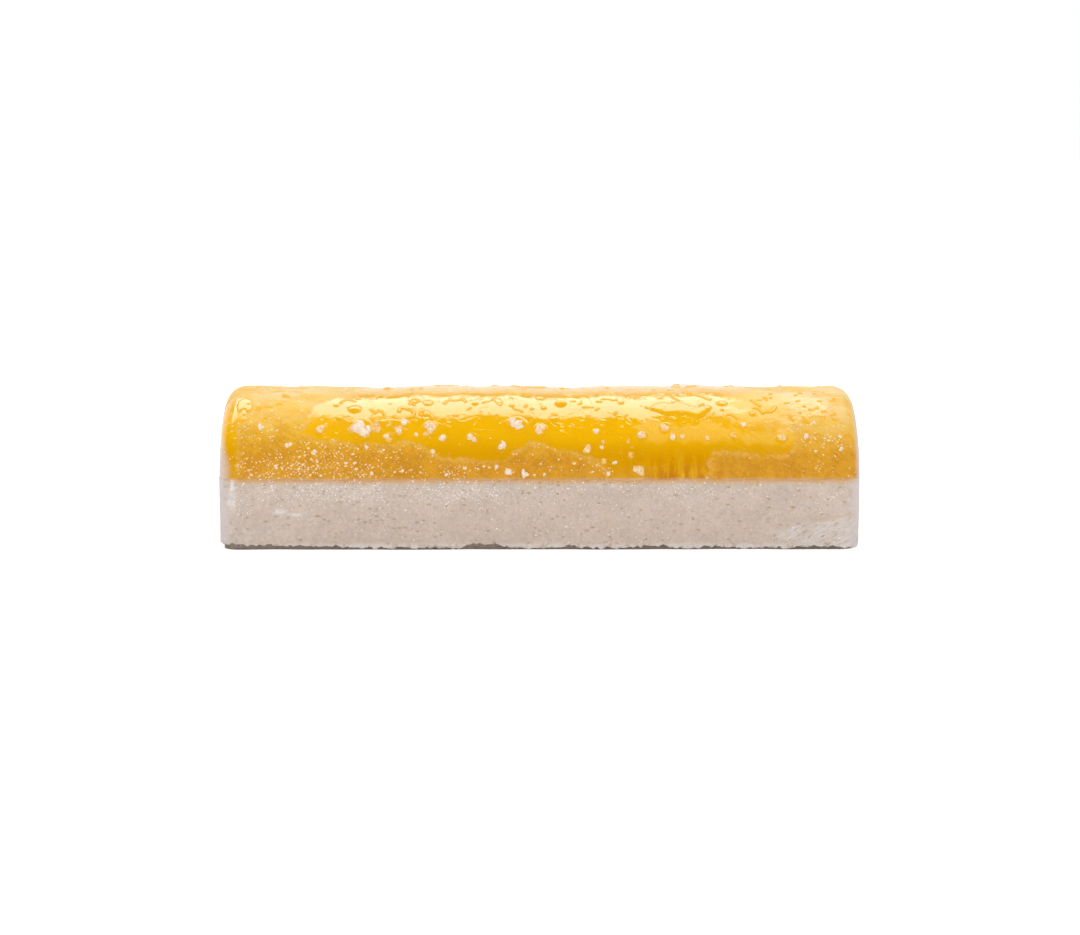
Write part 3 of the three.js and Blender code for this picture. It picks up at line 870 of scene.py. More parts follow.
def sparkle_group():
    """Fine dots of frost: a mask of small dots of uneven size and strength, of which the amount leaves a share."""
    tree, given, result = new_tree("frost_sparkle", "ShaderNodeTree", [
        ("Vector", "NodeSocketVector", None), ("Scale", "NodeSocketFloat", 1500.0),
        ("Amount", "NodeSocketFloat", 0.3), ("Radius", "NodeSocketFloat", 0.28)], [("Mask", "NodeSocketFloat")])
    cells = add(tree, "ShaderNodeTexVoronoi", {"Vector": given["Vector"], "Scale": given["Scale"]},
                voronoi_dimensions="2D")
    drawn = add(tree, "ShaderNodeSeparateColor", {0: cells.outputs["Color"]}).outputs
    kept = calc(tree, "LESS_THAN", drawn[0], given["Amount"])
    radius = times(tree, plus(tree, drawn[1], 0.5), given["Radius"])
    inside = calc(tree, "SUBTRACT", radius, cells.outputs["Distance"])
    dot = calc(tree, "MULTIPLY", inside, 7.0, clamp=True)
    tree.links.new(times(tree, dot, scaled(tree, drawn[2], 0.7, 0.3), kept), result["Mask"])
    return tree


def sparkle():
    return bpy.data.node_groups.get("frost_sparkle") or sparkle_group()


def dotted(tree, vector, scale, radius, amount):
    """A mask of dots: the scale is the number of cells in a metre, the amount the share of them with a dot."""
    return add(tree, "ShaderNodeGroup", {"Vector": vector, "Scale": scale, "Radius": radius, "Amount": amount},
               node_tree=sparkle()).outputs["Mask"]


# The layers of frost dots: turn in degrees, cells in a metre, share, and the share where no frost is drawn.
DOT_LAYERS = [(40, 1500.0, 0.6, 0.02), (-38, 1300.0, 0.5, 0.02), (15, 850.0, 0.4, 0.01)]


def frost_dots(tree, skin, dense, fineness=1.0):
    """Fine and coarser dots of frost, in loose clusters where the surface's frost attribute says."""
    cluster = eased(tree, noise(tree, skin, 0.006, 3.0, 21.0, 0.6), 0.36, 0.62, 0.25, 1.35)
    frost = times(tree, attribute(tree, "frost"), cluster)
    layers = [dotted(tree, slanted(tree, skin, turn, 1.7), scale * fineness, 0.3,
                     scaled(tree, frost, dense * share, least)) for turn, scale, share, least in DOT_LAYERS]
    return most(tree, *layers)


def fruit_masks(tree):
    """The masks and textures that the finish of the fruit ice is mixed with.

    Upper is 1 over the dome and 0 low on its sides. Fibre runs slantwise, as frost grows on the dull parts, and
    upright runs up the side, as the combed part does."""
    skin, place = attribute(tree, "skin", "Vector"), object_place(tree)
    edge = noise(tree, skin, 0.0038, 3.0, 2.0, 0.55)
    ragged = plus(tree, centred(tree, edge, 1.3), centred(tree, noise(tree, skin, 0.011, 2.0, 41.0), 0.8))
    wet = eased(tree, plus(tree, attribute(tree, "wet"), ragged), 0.34, 0.66)
    hazy = plus(tree, attribute(tree, "haze"), centred(tree, edge, 1.7))
    dry = rest(tree, wet)
    fine = noise(tree, place, 0.0009, 3.0, 6.0, 0.65)
    fibre = noise(tree, slanted(tree, skin, -35, 5), 0.0009, 2.0, 3.0)
    upright = noise(tree, squeezed(tree, skin, across=0.22), 0.0026, 3.0, 17.0, 0.6)
    mottle = scaled(tree, fibre, 0.35, times(tree, fine, 0.65))
    arc = part_of(tree, skin, 1)
    upper = times(tree, eased(tree, arc, 0.012, 0.032), eased(tree, arc, 0.084, 0.104, 1.0, 0.0))
    streak = noise(tree, squeezed(tree, skin, 0.4), 0.006, 4.0, 7.0, 0.6)
    long_way = squeezed(tree, skin, 0.6)
    return SimpleNamespace(
        skin=skin, place=place, long_way=long_way, edge=edge, wet=wet, dry=dry, fine=fine, fibre=fibre,
        upright=upright, mottle=mottle, upper=upper, combed=attribute(tree, "combed"),
        shore=attribute(tree, "shore"),
        haze=times(tree, wet, eased(tree, hazy, 0.2, 0.8)),
        film=times(tree, attribute(tree, "film"), eased(tree, streak, 0.42, 0.54, 0.25, 1.0)),
        rime=times(tree, attribute(tree, "rime"), eased(tree, mottle, 0.36, 0.56, 0.7, 1.0)),
        dots=times(tree, frost_dots(tree, skin, 0.7), scaled(tree, dry, 0.9, 0.04)),
        pits=dotted(tree, long_way, 420.0, 0.2, 0.22))


def golden_colour(tree, colours, at):
    """Fruit ice under melt: deep golden, darker low down, paler where its gloss is torn, and painted dark along
    the melt's borders.
    """
    cloud = noise(tree, at.place, 0.012, 3.0, 4.0)
    golden = blend(tree, eased(tree, cloud, 0.35, 0.65), toned(colours.wet_fruit, 0.93), rgba(colours.wet_fruit))
    golden = blend(tree, eased(tree, at.upper, 0.0, 0.6), toned(colours.wet_fruit, 0.87, 0.8, 0.8), golden)
    torn = times(tree, attribute(tree, "broken"), eased(tree, at.fibre, 0.47, 0.62, 0.0, 0.8))
    golden = blend(tree, torn, golden, TORN_GOLD)
    # Painted reflection: the borders of melt are made darker, for the dark surroundings that their steep edges
    # reflect.
    return blend(tree, at.shore, golden, SHADED_SHORE_GOLD)


def amber_colour(tree, colours, at):
    """Fruit ice under a thin frost: mottled amber, paler high up and along the border of the melt."""
    patchy = eased(tree, noise(tree, at.skin, 0.007, 3.0, 31.0, 0.6), 0.35, 0.65, -0.09, 0.09)
    dull = blend(tree, at.upper, rgba(colours.dry_fruit), toned(colours.wet_fruit, 1.02))
    shade = blend(tree, at.upper, (0.9, 0.85, 1, 1), (0.94, 0.91, 1, 1))
    varied = blend(tree, eased(tree, plus(tree, at.mottle, patchy), 0.34, 0.66), shade, (1.07, 1.12, 3, 1))
    amber = add(tree, "ShaderNodeMix", {0: 1.0, 6: dull, 7: varied},
                data_type="RGBA", blend_type="MULTIPLY").outputs[2]
    frosty = times(tree, at.upper, eased(tree, at.fibre, 0.44, 0.64, 0.0, 0.3))
    amber = blend(tree, frosty, amber, FROSTY_GOLD)
    # Painted glints: fine pale dots over the amber.
    glint = dotted(tree, at.skin, 2300.0, 0.36, 0.4)
    amber = blend(tree, times(tree, glint, 0.4), amber, GLINT_GOLD)
    rim = times(tree, eased(tree, attribute(tree, "wet"), 0.0, 0.42), eased(tree, at.mottle, 0.35, 0.6, 0.1, 0.6))
    return blend(tree, rim, amber, RIM_GOLD)


def fruit_colour(tree, colours, at):
    """Golden where it is wet and amber elsewhere, with all that lies on it and cream along the layer line."""
    base = blend(tree, at.wet, amber_colour(tree, colours, at), golden_colour(tree, colours, at))
    dulled = times(tree, at.haze, eased(tree, at.mottle, 0.4, 0.6, 0.25, 0.6))
    base = blend(tree, dulled, base, HAZE_GOLD)
    # Painted shade and highlight of the combing: dark strokes in its furrows and light strokes on its ridges.
    for ends, tint in (((0.44, 0.56, 1.0, 0.0), COMB_FURROW_SHADE), ((0.56, 0.68, 0.0, 0.6), COMB_RIDGE_HIGHLIGHT)):
        base = blend(tree, times(tree, at.combed, eased(tree, at.upright, *ends)), base, tint)
    base = blend(tree, at.film, base, rgba(colours.film))
    # Rime, partly a painted sheen of the grazing light on the rounded ends.
    base = blend(tree, at.rime, base, rgba(colours.rime))
    base = blend(tree, at.dots, base, FRUIT_DOT)
    seam = plus(tree, part_of(tree, at.place, 2), centred(tree, at.edge, 0.0016))
    return blend(tree, eased(tree, seam, 0.0274, 0.0288, 0.5, 0.0), base, rgba(colours.cream))


def fruit_gloss(tree, shader, at):
    """Roughness and coat: clear gloss where it is wet, blunted by borders, pits, haze, film, rime and combing."""
    blunt = most(tree, at.shore, at.pits)
    wet_rough = times(tree, at.wet, scaled(tree, blunt, 0.6, scaled(tree, at.haze, 0.22, 0.06)))
    rough = scaled(tree, eased(tree, at.fine, 0.2, 0.8, 0.36, 0.5), at.dry, wet_rough)
    tree.links.new(scaled(tree, at.film, 0.25, rough), shader.inputs["Roughness"])
    veil = most(tree, at.haze, at.film, at.rime, blunt, times(tree, at.combed, 0.85))
    tree.links.new(times(tree, at.wet, rest(tree, veil)), shader.inputs["Coat Weight"])


def fruit_height(tree, at):
    """The finest relief: ripples, pits and strokes where it is wet, grain and dots of frost where it is dull."""
    sheet = eased(tree, noise(tree, at.skin, 0.0045, 2.0, 9.0, 0.5, 0.8), 0.55, 0.64)
    ruffle = noise(tree, at.long_way, 0.0016, 3.0, 5.0)
    torn = times(tree, attribute(tree, "broken"), noise(tree, at.long_way, 0.0013, 3.0, 23.0, 0.6, 1.5))
    on_wet = scaled(tree, ruffle, 0.4, scaled(tree, sheet, 0.35, 0.5))
    on_wet = scaled(tree, at.pits, -0.8, on_wet)
    on_wet = scaled(tree, torn, 2.0, on_wet)
    on_wet = scaled(tree, times(tree, at.combed, at.upright), 2.0, on_wet)
    on_dull = scaled(tree, at.mottle, 0.9, at.dots)
    return scaled(tree, on_wet, at.wet, times(tree, on_dull, most(tree, at.dry, at.haze)))


def fruit_material(name, colours, depth, glow):
    """Golden fruit ice: wet and glossy under melt, elsewhere dulled by fine frost.

    The depth is how much of the light goes in under the surface, and the glow is how much painted light of its own
    the upper wet fruit ice gives off, which stands in for the light that comes through it."""
    material, tree, shader = new_material(
        name, IOR=1.42, Specular_IOR_Level=0.35, Coat_IOR=1.5, Coat_Roughness=0.06, Subsurface_Weight=depth,
        Subsurface_Radius=(1.0, 0.6, 0.3), Subsurface_Scale=0.002)
    at = fruit_masks(tree)
    tree.links.new(fruit_colour(tree, colours, at), shader.inputs["Base Color"])
    # Painted light: the upper wet fruit ice glows a little, and the dots of frost glint.
    lit = blend(tree, times(tree, at.wet, at.upper), BLACK, toned(colours.wet_fruit, glow))
    light_up(tree, shader, blend(tree, at.dots, lit, FRUIT_DOT_PAINTED_GLINT))
    fruit_gloss(tree, shader, at)
    normal = bump(tree, shader, fruit_height(tree, at), 0.0002)
    tree.links.new(normal, shader.inputs["Coat Normal"])
    return material


def cream_masks(tree):
    """The masks and textures that the finish of the cream is mixed with.

    Scraped is the slanting texture that the knife leaves, block is the part that it smeared, and white is
    everything on the cream that is whiter than it: dots of frost, smears, low crumbs, and ridges with a painted
    highlight."""
    skin, place = attribute(tree, "skin", "Vector"), object_place(tree)
    fine = noise(tree, place, 0.0011, 3.0, 8.0, 0.6)
    mottle = scaled(tree, noise(tree, place, 0.009, 4.0, 3.0, 0.6), 0.4, times(tree, fine, 0.6))
    edge = noise(tree, skin, 0.003, 4.0, 2.0, 0.6)
    level = part_of(tree, place, 2)
    scraped = noise(tree, slanted(tree, skin, 30, 4), 0.0013, 3.0, 15.0, 0.6)
    drag, block = attribute(tree, "drag"), attribute(tree, "scraped")
    dots = frost_dots(tree, skin, 0.8, 1.3)
    smear = times(tree, attribute(tree, "film"), eased(tree, mottle, 0.4, 0.56, 0.4, 1.0))
    crumbs = times(tree, eased(tree, level, 0.0012, 0.0036, 1.0, 0.0), eased(tree, edge, 0.42, 0.52, 0.0, 0.75))
    rubbed = times(tree, block, eased(tree, scraped, 0.36, 0.6, 0.15, 0.7))
    # Painted highlight: the ridges that the knife dragged up are made whiter.
    ridge_highlight = times(tree, drag, eased(tree, scraped, 0.5, 0.62))
    return SimpleNamespace(
        skin=skin, fine=fine, mottle=mottle, edge=edge, level=level, scraped=scraped, drag=drag, block=block,
        dots=dots, white=most(tree, dots, smear, crumbs, rubbed, times(tree, ridge_highlight, 0.45)),
        pores=dotted(tree, squeezed(tree, skin, 0.5), 880.0, 0.32, 0.17),
        dashes=dotted(tree, slanted(tree, skin, 38, 2.6), 700.0, 0.24, times(tree, block, 0.5)))


def cream_colour(tree, colours, at):
    """Softly mottled cream with pores and grooves, a golden tinge under the layer line and a foot painted dark as
    shade.
    """
    base = blend(tree, eased(tree, at.mottle, 0.36, 0.64), toned(colours.cream, 0.9), toned(colours.cream, 1.08))
    warm = eased(tree, noise(tree, at.skin, 0.008, 4.0, 12.0, 0.65), 0.54, 0.72, 0.0, 0.4)
    seam = plus(tree, at.level, centred(tree, at.edge, 0.0016))
    # Painted shade: the grooves that the knife dragged are darkened with the pore colour.
    groove_shade = times(tree, at.drag, eased(tree, at.scraped, 0.34, 0.46, 1.0, 0.0))
    brim = times(tree, eased(tree, at.block, 0.02, 0.2), eased(tree, at.block, 0.35, 0.6, 0.6, 0.0))
    at_right_end = eased(tree, part_of(tree, at.skin, 0), 0.1, 0.114)
    for share, tint in (
            (warm, WARM_CREAM), (times(tree, at.pores, 0.7), rgba(colours.pore)),
            (eased(tree, seam, 0.0252, 0.0282, 0.0, 0.75), rgba(colours.dry_fruit)),
            (times(tree, groove_shade, 0.6), rgba(colours.pore)), (times(tree, at.dashes, 0.8), rgba(colours.pore)),
            (times(tree, brim, at_right_end), BRIM_STAIN), (times(tree, at.white, 0.9), WHITE_CREAM),
            # Rime, partly a painted sheen of the grazing light on the rounded ends.
            (attribute(tree, "rime"), rgba(colours.rime)),
            # Painted shade: the foot under the lower edge is darkened.
            (times(tree, attribute(tree, "foot"), 0.9), rgba(colours.foot))):
        base = blend(tree, share, base, tint)
    return base


def cream_material(colours):
    """Cream ice: softly mottled, with small pores lengthwise, frost above and marks of the knife below."""
    material, tree, shader = new_material(
        "frozen_cream", IOR=1.35, Roughness=0.55, Subsurface_Weight=0.08, Subsurface_Radius=(1.0, 0.7, 0.5),
        Subsurface_Scale=0.003)
    at = cream_masks(tree)
    tree.links.new(cream_colour(tree, colours, at), shader.inputs["Base Color"])
    # Painted glint: the dots of frost glow a little.
    light_up(tree, shader, blend(tree, at.dots, BLACK, CREAM_DOT_PAINTED_GLINT))
    raised = scaled(tree, at.white, 0.6, times(tree, at.fine, 0.6))
    height = calc(tree, "SUBTRACT", raised, plus(tree, at.pores, times(tree, at.dashes, 1.6)))
    height = scaled(tree, times(tree, at.scraped, most(tree, at.drag, at.block)), 3.5, height)
    bump(tree, shader, height, 0.0002)
    return material


def frost_material(name, tint):
    """Specks of dry frost, with a faint painted glow of their own that stands in for the light that comes through
    them.
    """
    material, tree, shader = new_material(name, IOR=1.31, Roughness=0.3)
    cloud = noise(tree, object_place(tree), 0.0009, 2.0, 1.0)
    base = blend(tree, eased(tree, cloud, 0.35, 0.65), toned(tint, 0.9), rgba(tint))
    tree.links.new(base, shader.inputs["Base Color"])
    light_up(tree, shader, base, 0.25)
    bump(tree, shader, cloud, 0.0001)
    return material


def grain_material(colours):
    """Grains of ice: white and frosty on top, clear over the golden fruit towards their foot.

    The white attribute says how much of a grain is still frosted."""
    material, tree, shader = new_material("melting_ice", IOR=1.4)
    place = object_place(tree)
    cloud = noise(tree, place, 0.0009, 3.0, 2.0, 0.6)
    # Whiter towards the top of the grain: partly frost on top and clear melt at the foot, partly a painted
    # highlight on top and painted shade towards the foot.
    share = scaled(tree, attribute(tree, "core"), 0.3, cloud)
    share = plus(tree, share, scaled(tree, attribute(tree, "white"), 0.3, -0.15))
    white = eased(tree, share, 0.64, 0.95)
    base = blend(tree, white, CLEAR_FOOT, rgba(colours.frost))
    dents = eased(tree, noise(tree, place, 0.0006, 2.0, 5.0), 0.3, 0.5, 0.55, 0.0)
    base = blend(tree, dents, base, CLEAR_DENT)
    tree.links.new(base, shader.inputs["Base Color"])
    # Painted light: a faint glow of its own.
    light_up(tree, shader, base, 0.1)
    tree.links.new(eased(tree, white, 0, 1, 0.1, 0.4), shader.inputs["Roughness"])
    bump(tree, shader, cloud, 0.0006)
    return material


# ---------------------------------------------------------------- toppings


def scatter(form, count, size, angle, seed):
    """Places at even steps along the log, each with a drawn shift, angle and size."""
    draw = stream(seed)
    span = 2 * form.half - 3 * form.rounding
    return [(-span / 2 + span * (i + next(draw)) / count, between(angle, next(draw)),
             between(size, next(draw) ** 2)) for i in range(count)]


def toppings(form):
    """The grains and drops that are fused to the solid: (along, angle, size) of each, and a front drop's height.

    The scattered ones keep clear of each other and of those in front."""
    def clear(one, other):
        arc = (one[1] - other[1]) * form.radius
        return math.hypot(one[0] - other[0], arc) > (one[2] + other[2]) / 2 + CLEARANCE

    grains, drops = list(FRONT_GRAINS), list(FRONT_DROPS)
    for listed, spread in ((grains, BACK_GRAINS), (drops, BACK_DROPS)):
        for one in scatter(form, **spread):
            if all(clear(one, other) for other in grains + drops):
                listed.append(one)
    return grains, drops


def crystals(name, seed, sharpness, count=1, spread=0.3):
    """Blunt lumps of ice, cut by planes all round and grown together, about 1 across in all.
    The sharpness is that of the edges between the planes."""
    draw = np.random.default_rng(seed)
    planes_round = 13
    shaped = bmesh.new()
    for k in range(count):
        lump = bmesh.ops.create_icosphere(shaped, subdivisions=3, radius=1)["verts"]
        way = np.array([v.co for v in lump])
        planes = draw.normal(size=(planes_round, 3))
        planes /= np.linalg.norm(planes, axis=1, keepdims=True)
        facing = np.maximum(way @ planes.T, 0.02) / draw.uniform(0.62, 1.0, planes_round)
        radius = np.minimum(0.5 / (facing ** sharpness).sum(1) ** (1 / sharpness), 0.55)
        middle = draw.normal(0, spread if k else 0, 3) * (1, 1, 0.35)
        size = 1 if count == 1 else draw.uniform(0.45, 0.8)
        stretch = draw.uniform([0.95, 0.85, 0.8], [1.25, 1.1, 1.0])
        move_to(lump, middle + way * radius[:, None] * size * stretch)
    for face in shaped.faces:
        face.smooth = True
    place = np.array([v.co for v in shaped.verts])
    low, high = place.min(0), place.max(0)
    place = (place - (low + high) / 2) / (high - low)
    move_to(shaped.verts, place)
    mesh = bpy.data.meshes.new(name)
    shaped.to_mesh(mesh)
    shaped.free()
    store(mesh, "core", place[:, 2] + 0.5)
    return bpy.data.objects.new(name, mesh)


def move_to(vertices, places):
    for vertex, place in zip(vertices, places):
        vertex.co = place


def set_on_surface(name, form, places, shapes, **inputs):
    """One piece of shapes set on the fruit layer.

    A place is along, angle, (length, width, height), spin, how deep it is sunk, and how white it is."""
    mesh = bpy.data.meshes.new(name)
    turns, points = [], []
    for along, angle, _, spin, sunk, _ in places:
        upright = Vector((0, -math.cos(angle), math.sin(angle)))
        lengthwise = Vector((1, 0, 0))
        basis = Matrix((lengthwise, upright.cross(lengthwise), upright)).transposed()
        turns.append((basis @ Matrix.Rotation(spin, 3, "Z")).to_euler())
        points.append(skin_point(form, along, angle, -sunk))
    mesh.from_pydata((np.array(points) * MM).tolist(), [], [])
    store(mesh, "turn", turns, "FLOAT_VECTOR")
    store(mesh, "scale", np.array([place[2] for place in places]) * MM, "FLOAT_VECTOR")
    store(mesh, "white", [place[5] for place in places])
    collection = bpy.data.collections.new(name + "_shapes")
    for shape in shapes:
        collection.objects.link(shape)
    piece = run_tree(link(name, mesh), topping_tree(), Shapes=collection, **inputs)
    for shape in shapes:
        bpy.data.objects.remove(shape)
    bpy.data.collections.remove(collection)
    return piece


def round_outline(form, place, length, width, wobble, draw):
    """A rounded, uneven outline in millimetres of skin and arc round a place of (along, angle)."""
    turn = np.arange(28) / 28 * 2 * math.pi
    reach = 1 + sum(wobble * (2 * next(draw) - 1) / k * np.cos(k * turn + FULL_TURN * next(draw))
                    for k in (2, 3, 5))
    return np.stack([place[0] + reach * np.cos(turn) * length / 2,
                     place[1] * form.radius + reach * np.sin(turn) * width / 2], 1)


def melt_patch(form, depth_at, corners, height, edge, pitch):
    """A low patch of melt whose underside lies inside the ice: its points, faces, and (skin, arc, shore) by point.

    depth_at tells how far points are inside its outline, and the edge is how wide its rounded border is."""
    margin = SKIRT + 3 * pitch
    low, high = np.min(corners, 0) - margin, np.max(corners, 0) + margin
    skin, arc = np.meshgrid(
        np.arange(low[0], high[0], pitch), np.arange(low[1], high[1], pitch), indexing="ij")
    depth = depth_at(np.stack([skin.ravel(), arc.ravel()], 1)).reshape(skin.shape)
    edge = min(edge, depth.max())
    crown = SKIRT_HEIGHT + height * (1 - (1 - np.clip(depth / edge, 0, 1)) ** 2)
    rise = np.where(depth > -SKIRT, crown, np.maximum(SKIRT_HEIGHT + depth + SKIRT, -MELT_SUNK / 2))
    top = skin_point(form, skin, arc / form.radius, rise)
    under = skin_point(form, skin, arc / form.radius, -MELT_SUNK)
    near = depth > -SKIRT - 1.6 * pitch
    kept = near[1:, 1:] | near[:-1, 1:] | near[1:, :-1] | near[:-1, :-1]
    number = np.arange(skin.size).reshape(skin.shape)
    a, b, c, d = number[:-1, :-1], number[1:, :-1], number[1:, 1:], number[:-1, 1:]
    faces = [np.stack([a, b, c, d], -1)[kept], np.stack([d, c, b, a], -1)[kept] + skin.size]
    ringed = np.pad(kept, 1)
    beyond = (ringed[1:-1, :-2], ringed[2:, 1:-1], ringed[1:-1, 2:], ringed[:-2, 1:-1])
    for start, end, neighbour in zip((a, b, c, d), (b, c, d, a), beyond):
        open_side = kept & ~neighbour
        first, second = start[open_side], end[open_side]
        faces.append(np.stack([first, first + skin.size, second + skin.size, second], -1))
    shore = np.clip(1.4 - depth / SHORE_WIDTH, 0, 1)
    flat = np.stack([skin, arc, shore], -1).reshape(-1, 3)
    points = np.concatenate([top.reshape(-1, 3), under.reshape(-1, 3)])
    return points, np.concatenate(faces), np.tile(flat, (2, 1))


def outline_patch(form, outline, height, edge, pitch):
    return melt_patch(form, lambda points: outline_distance(points, outline), outline, height, edge, pitch)


def thread_patch(form, path, height, width):
    corners = np.concatenate([path - width / 2, path + width / 2])
    return melt_patch(form, lambda points: width / 2 - path_distance(points, path), corners, height, width, 0.25)


def fleck(form, along, angle, draw):
    """The path of a short bent thread of melt."""
    way, bend = FULL_TURN * next(draw), next(draw) - 0.5
    length = between((0.5, 1.4), next(draw))
    steps = np.array((0, 0.5, 1, 1.6))
    turn = way + bend * steps
    path = [along + length * steps * np.cos(turn), angle * form.radius + length * steps * np.sin(turn) * 0.6]
    return softened(np.stack(path, 1), False)


def melt_piece(name, patches_of_melt):
    """All the patches as one mesh, with only the points that faces use."""
    points, faces, skin, count = [], [], [], 0
    for own_points, own_faces, own_skin in patches_of_melt:
        used, renumbered = np.unique(own_faces, return_inverse=True)
        points.append(own_points[used])
        skin.append(own_skin[used])
        faces.append(renumbered.reshape(-1, 4) + count)
        count += len(used)
    mesh = bpy.data.meshes.new(name)
    mesh.from_pydata((np.concatenate(points) * MM).tolist(), [], np.concatenate(faces).tolist())
    mesh.shade_smooth()
    skin = np.concatenate(skin)
    store(mesh, "skin", skin * (MM, MM, 0), "FLOAT_VECTOR")
    store(mesh, "shore", skin[:, 2])
    store(mesh, "wet", np.ones(count))
    return link(name, mesh)


def settle(piece, node):
    """Tells the frame what the finished piece rides on and what it stands for."""
    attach(piece, "root")
    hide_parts(node)


# ---------------------------------------------------------------- operators


class ICELOG_OT_cream_body(bpy.types.Operator):
    """Builds the cream ice: its walls, the rough lower edge and the foot under it"""

    bl_idname = "icelog.cream_body"
    bl_label = "Cream Body"

    def execute(self, context):
        form, frost = log_form(context), context.scene.log_frost
        points, skin, angle = cream_grid(form, frost.pitch / MM * 0.85)
        level, in_front = points[:, :, 2], angle < math.pi / 2
        drag = patches(DRAG_MARKS, skin, level)
        smears = np.minimum(patches(CREAM_SMEARS, skin, level), 1)
        foot = np.zeros(level.shape)
        # The foot's columns, which are painted dark as shade.
        foot[:, [0, 1, 2, -3, -2, -1]] = 1
        arc = np.where(in_front, level, BACK_ARC - level)
        scraped = inside_share(SCRAPED, skin, np.where(in_front, level, BEHIND), 1, SCRAPED_BLUR)
        piece = grid_piece("cream_body", points, {
            "skin": np.stack([skin, arc, skin * 0], -1) * MM, "frost": patches(CREAM_FROST, skin, angle),
            "film": np.maximum(smears, drag * 0.3), "rime": rime_and_sheen_share(skin, 119.5, 5, 0.8, 0.6),
            "drag": drag, "foot": foot, "scraped": scraped,
        }, [points.shape[1] - 1, points.shape[1] // 2 - 1])
        material = cream_material(context.scene.log_colours)
        run_tree(piece, cream_relief_tree(), Seed=float(frost.seed), Material=material)
        settle(piece, "cream_layer")
        return {"FINISHED"}


class ICELOG_OT_fruit_body(bpy.types.Operator):
    """Builds the domed fruit layer, with where it is wet, frosted or filmed over"""

    bl_idname = "icelog.fruit_body"
    bl_label = "Fruit Body"

    def execute(self, context):
        form, frost = log_form(context), context.scene.log_frost
        points, skin, angle = fruit_grid(form, frost.pitch / MM)
        rime_and_sheen_start = np.where(skin < 0, 119.4 + 5.6 * np.clip(angle * 2 - 0.6, 0, 1), 122.8)
        piece = grid_piece("fruit_body", points, {
            "skin": np.stack([skin, angle * form.radius, skin * 0], -1) * MM,
            "frost": patches(FRUIT_FROST, skin, angle), "film": patches(FILM_PATCHES, skin, angle),
            "combed": patches(COMBED, skin, angle), "broken": patches(BROKEN, skin, angle),
            "rime": rime_and_sheen_share(skin, rime_and_sheen_start, 3, 0.75, 0.75),
            "haze": most_inside(form, HAZE_OUTLINES, skin, angle),
            "wet": most_inside(form, WET_OUTLINES, skin, angle),
        }, [points.shape[1] - 1])
        material = fruit_material("golden_fruit_ice", context.scene.log_colours, 0.08, 0.14)
        run_tree(piece, fruit_relief_tree(), Seed=float(frost.seed), Material=material)
        settle(piece, "fruit_layer")
        return {"FINISHED"}


class ICELOG_OT_ice_grains(bpy.types.Operator):
    """Sets the grains of ice on the fruit layer: white where it is dry and half melted where it is wet"""

    bl_idname = "icelog.ice_grains"
    bl_label = "Ice Grains"

    def execute(self, context):
        form = log_form(context)
        dry, melting, clumps = self.sorted_grains(form, stream(context.scene.log_frost.seed))
        ice = grain_material(context.scene.log_colours)
        for name, places, shapes, rough, smallest in (
                ("dry_grains", dry, [crystals(f"dry_{k}", 40 + k, 12, 3, 0.22) for k in range(6)],
                 0.0002, 0.0008),
                ("melting_grains", melting, [crystals(f"melting_{k}", 60 + k, 6, 3, 0.12) for k in range(8)],
                 0.0003, 0.0011),
                ("frost_clumps", clumps, [crystals(f"clump_{k}", 70 + k, 7, 12, 0.17) for k in range(3)],
                 0.0004, 0.0009)):
            piece = set_on_surface(
                name, form, places, shapes, Rough_height=rough, Rough_size=smallest, Material=ice)
            settle(piece, "fruit_layer")
        return {"FINISHED"}

    def sorted_grains(self, form, draw):
        """The places of the dry grains, of the melting ones and of the clumps."""
        dry, melting, clumps = [], [], []
        for along, angle, size in toppings(form)[0]:
            wet = is_wet(form, along, angle)
            long = size * (1.25 if size > LARGEST_CLUMP else 1.12 if wet else 1)
            scale = (long, long * between((0.85, 1.0), next(draw)), size * 0.85)
            white = between((0.1, 1.0), next(draw)) if wet else 1.1
            white = max(white, size * 0.16 - 0.15)
            place = (along, angle, scale, next(draw) * FULL_TURN, GRAIN_SUNK * size, white)
            (clumps if size > CLUMP_SIZE else melting if wet else dry).append(place)
        for along, angle, size in CLEAR_GRAINS:
            scale = (size, size * 0.8, size * 0.5)
            clumps.append((along, angle, scale, next(draw) * FULL_TURN, 0.1 * size, 0.25))
        return dry, melting, clumps


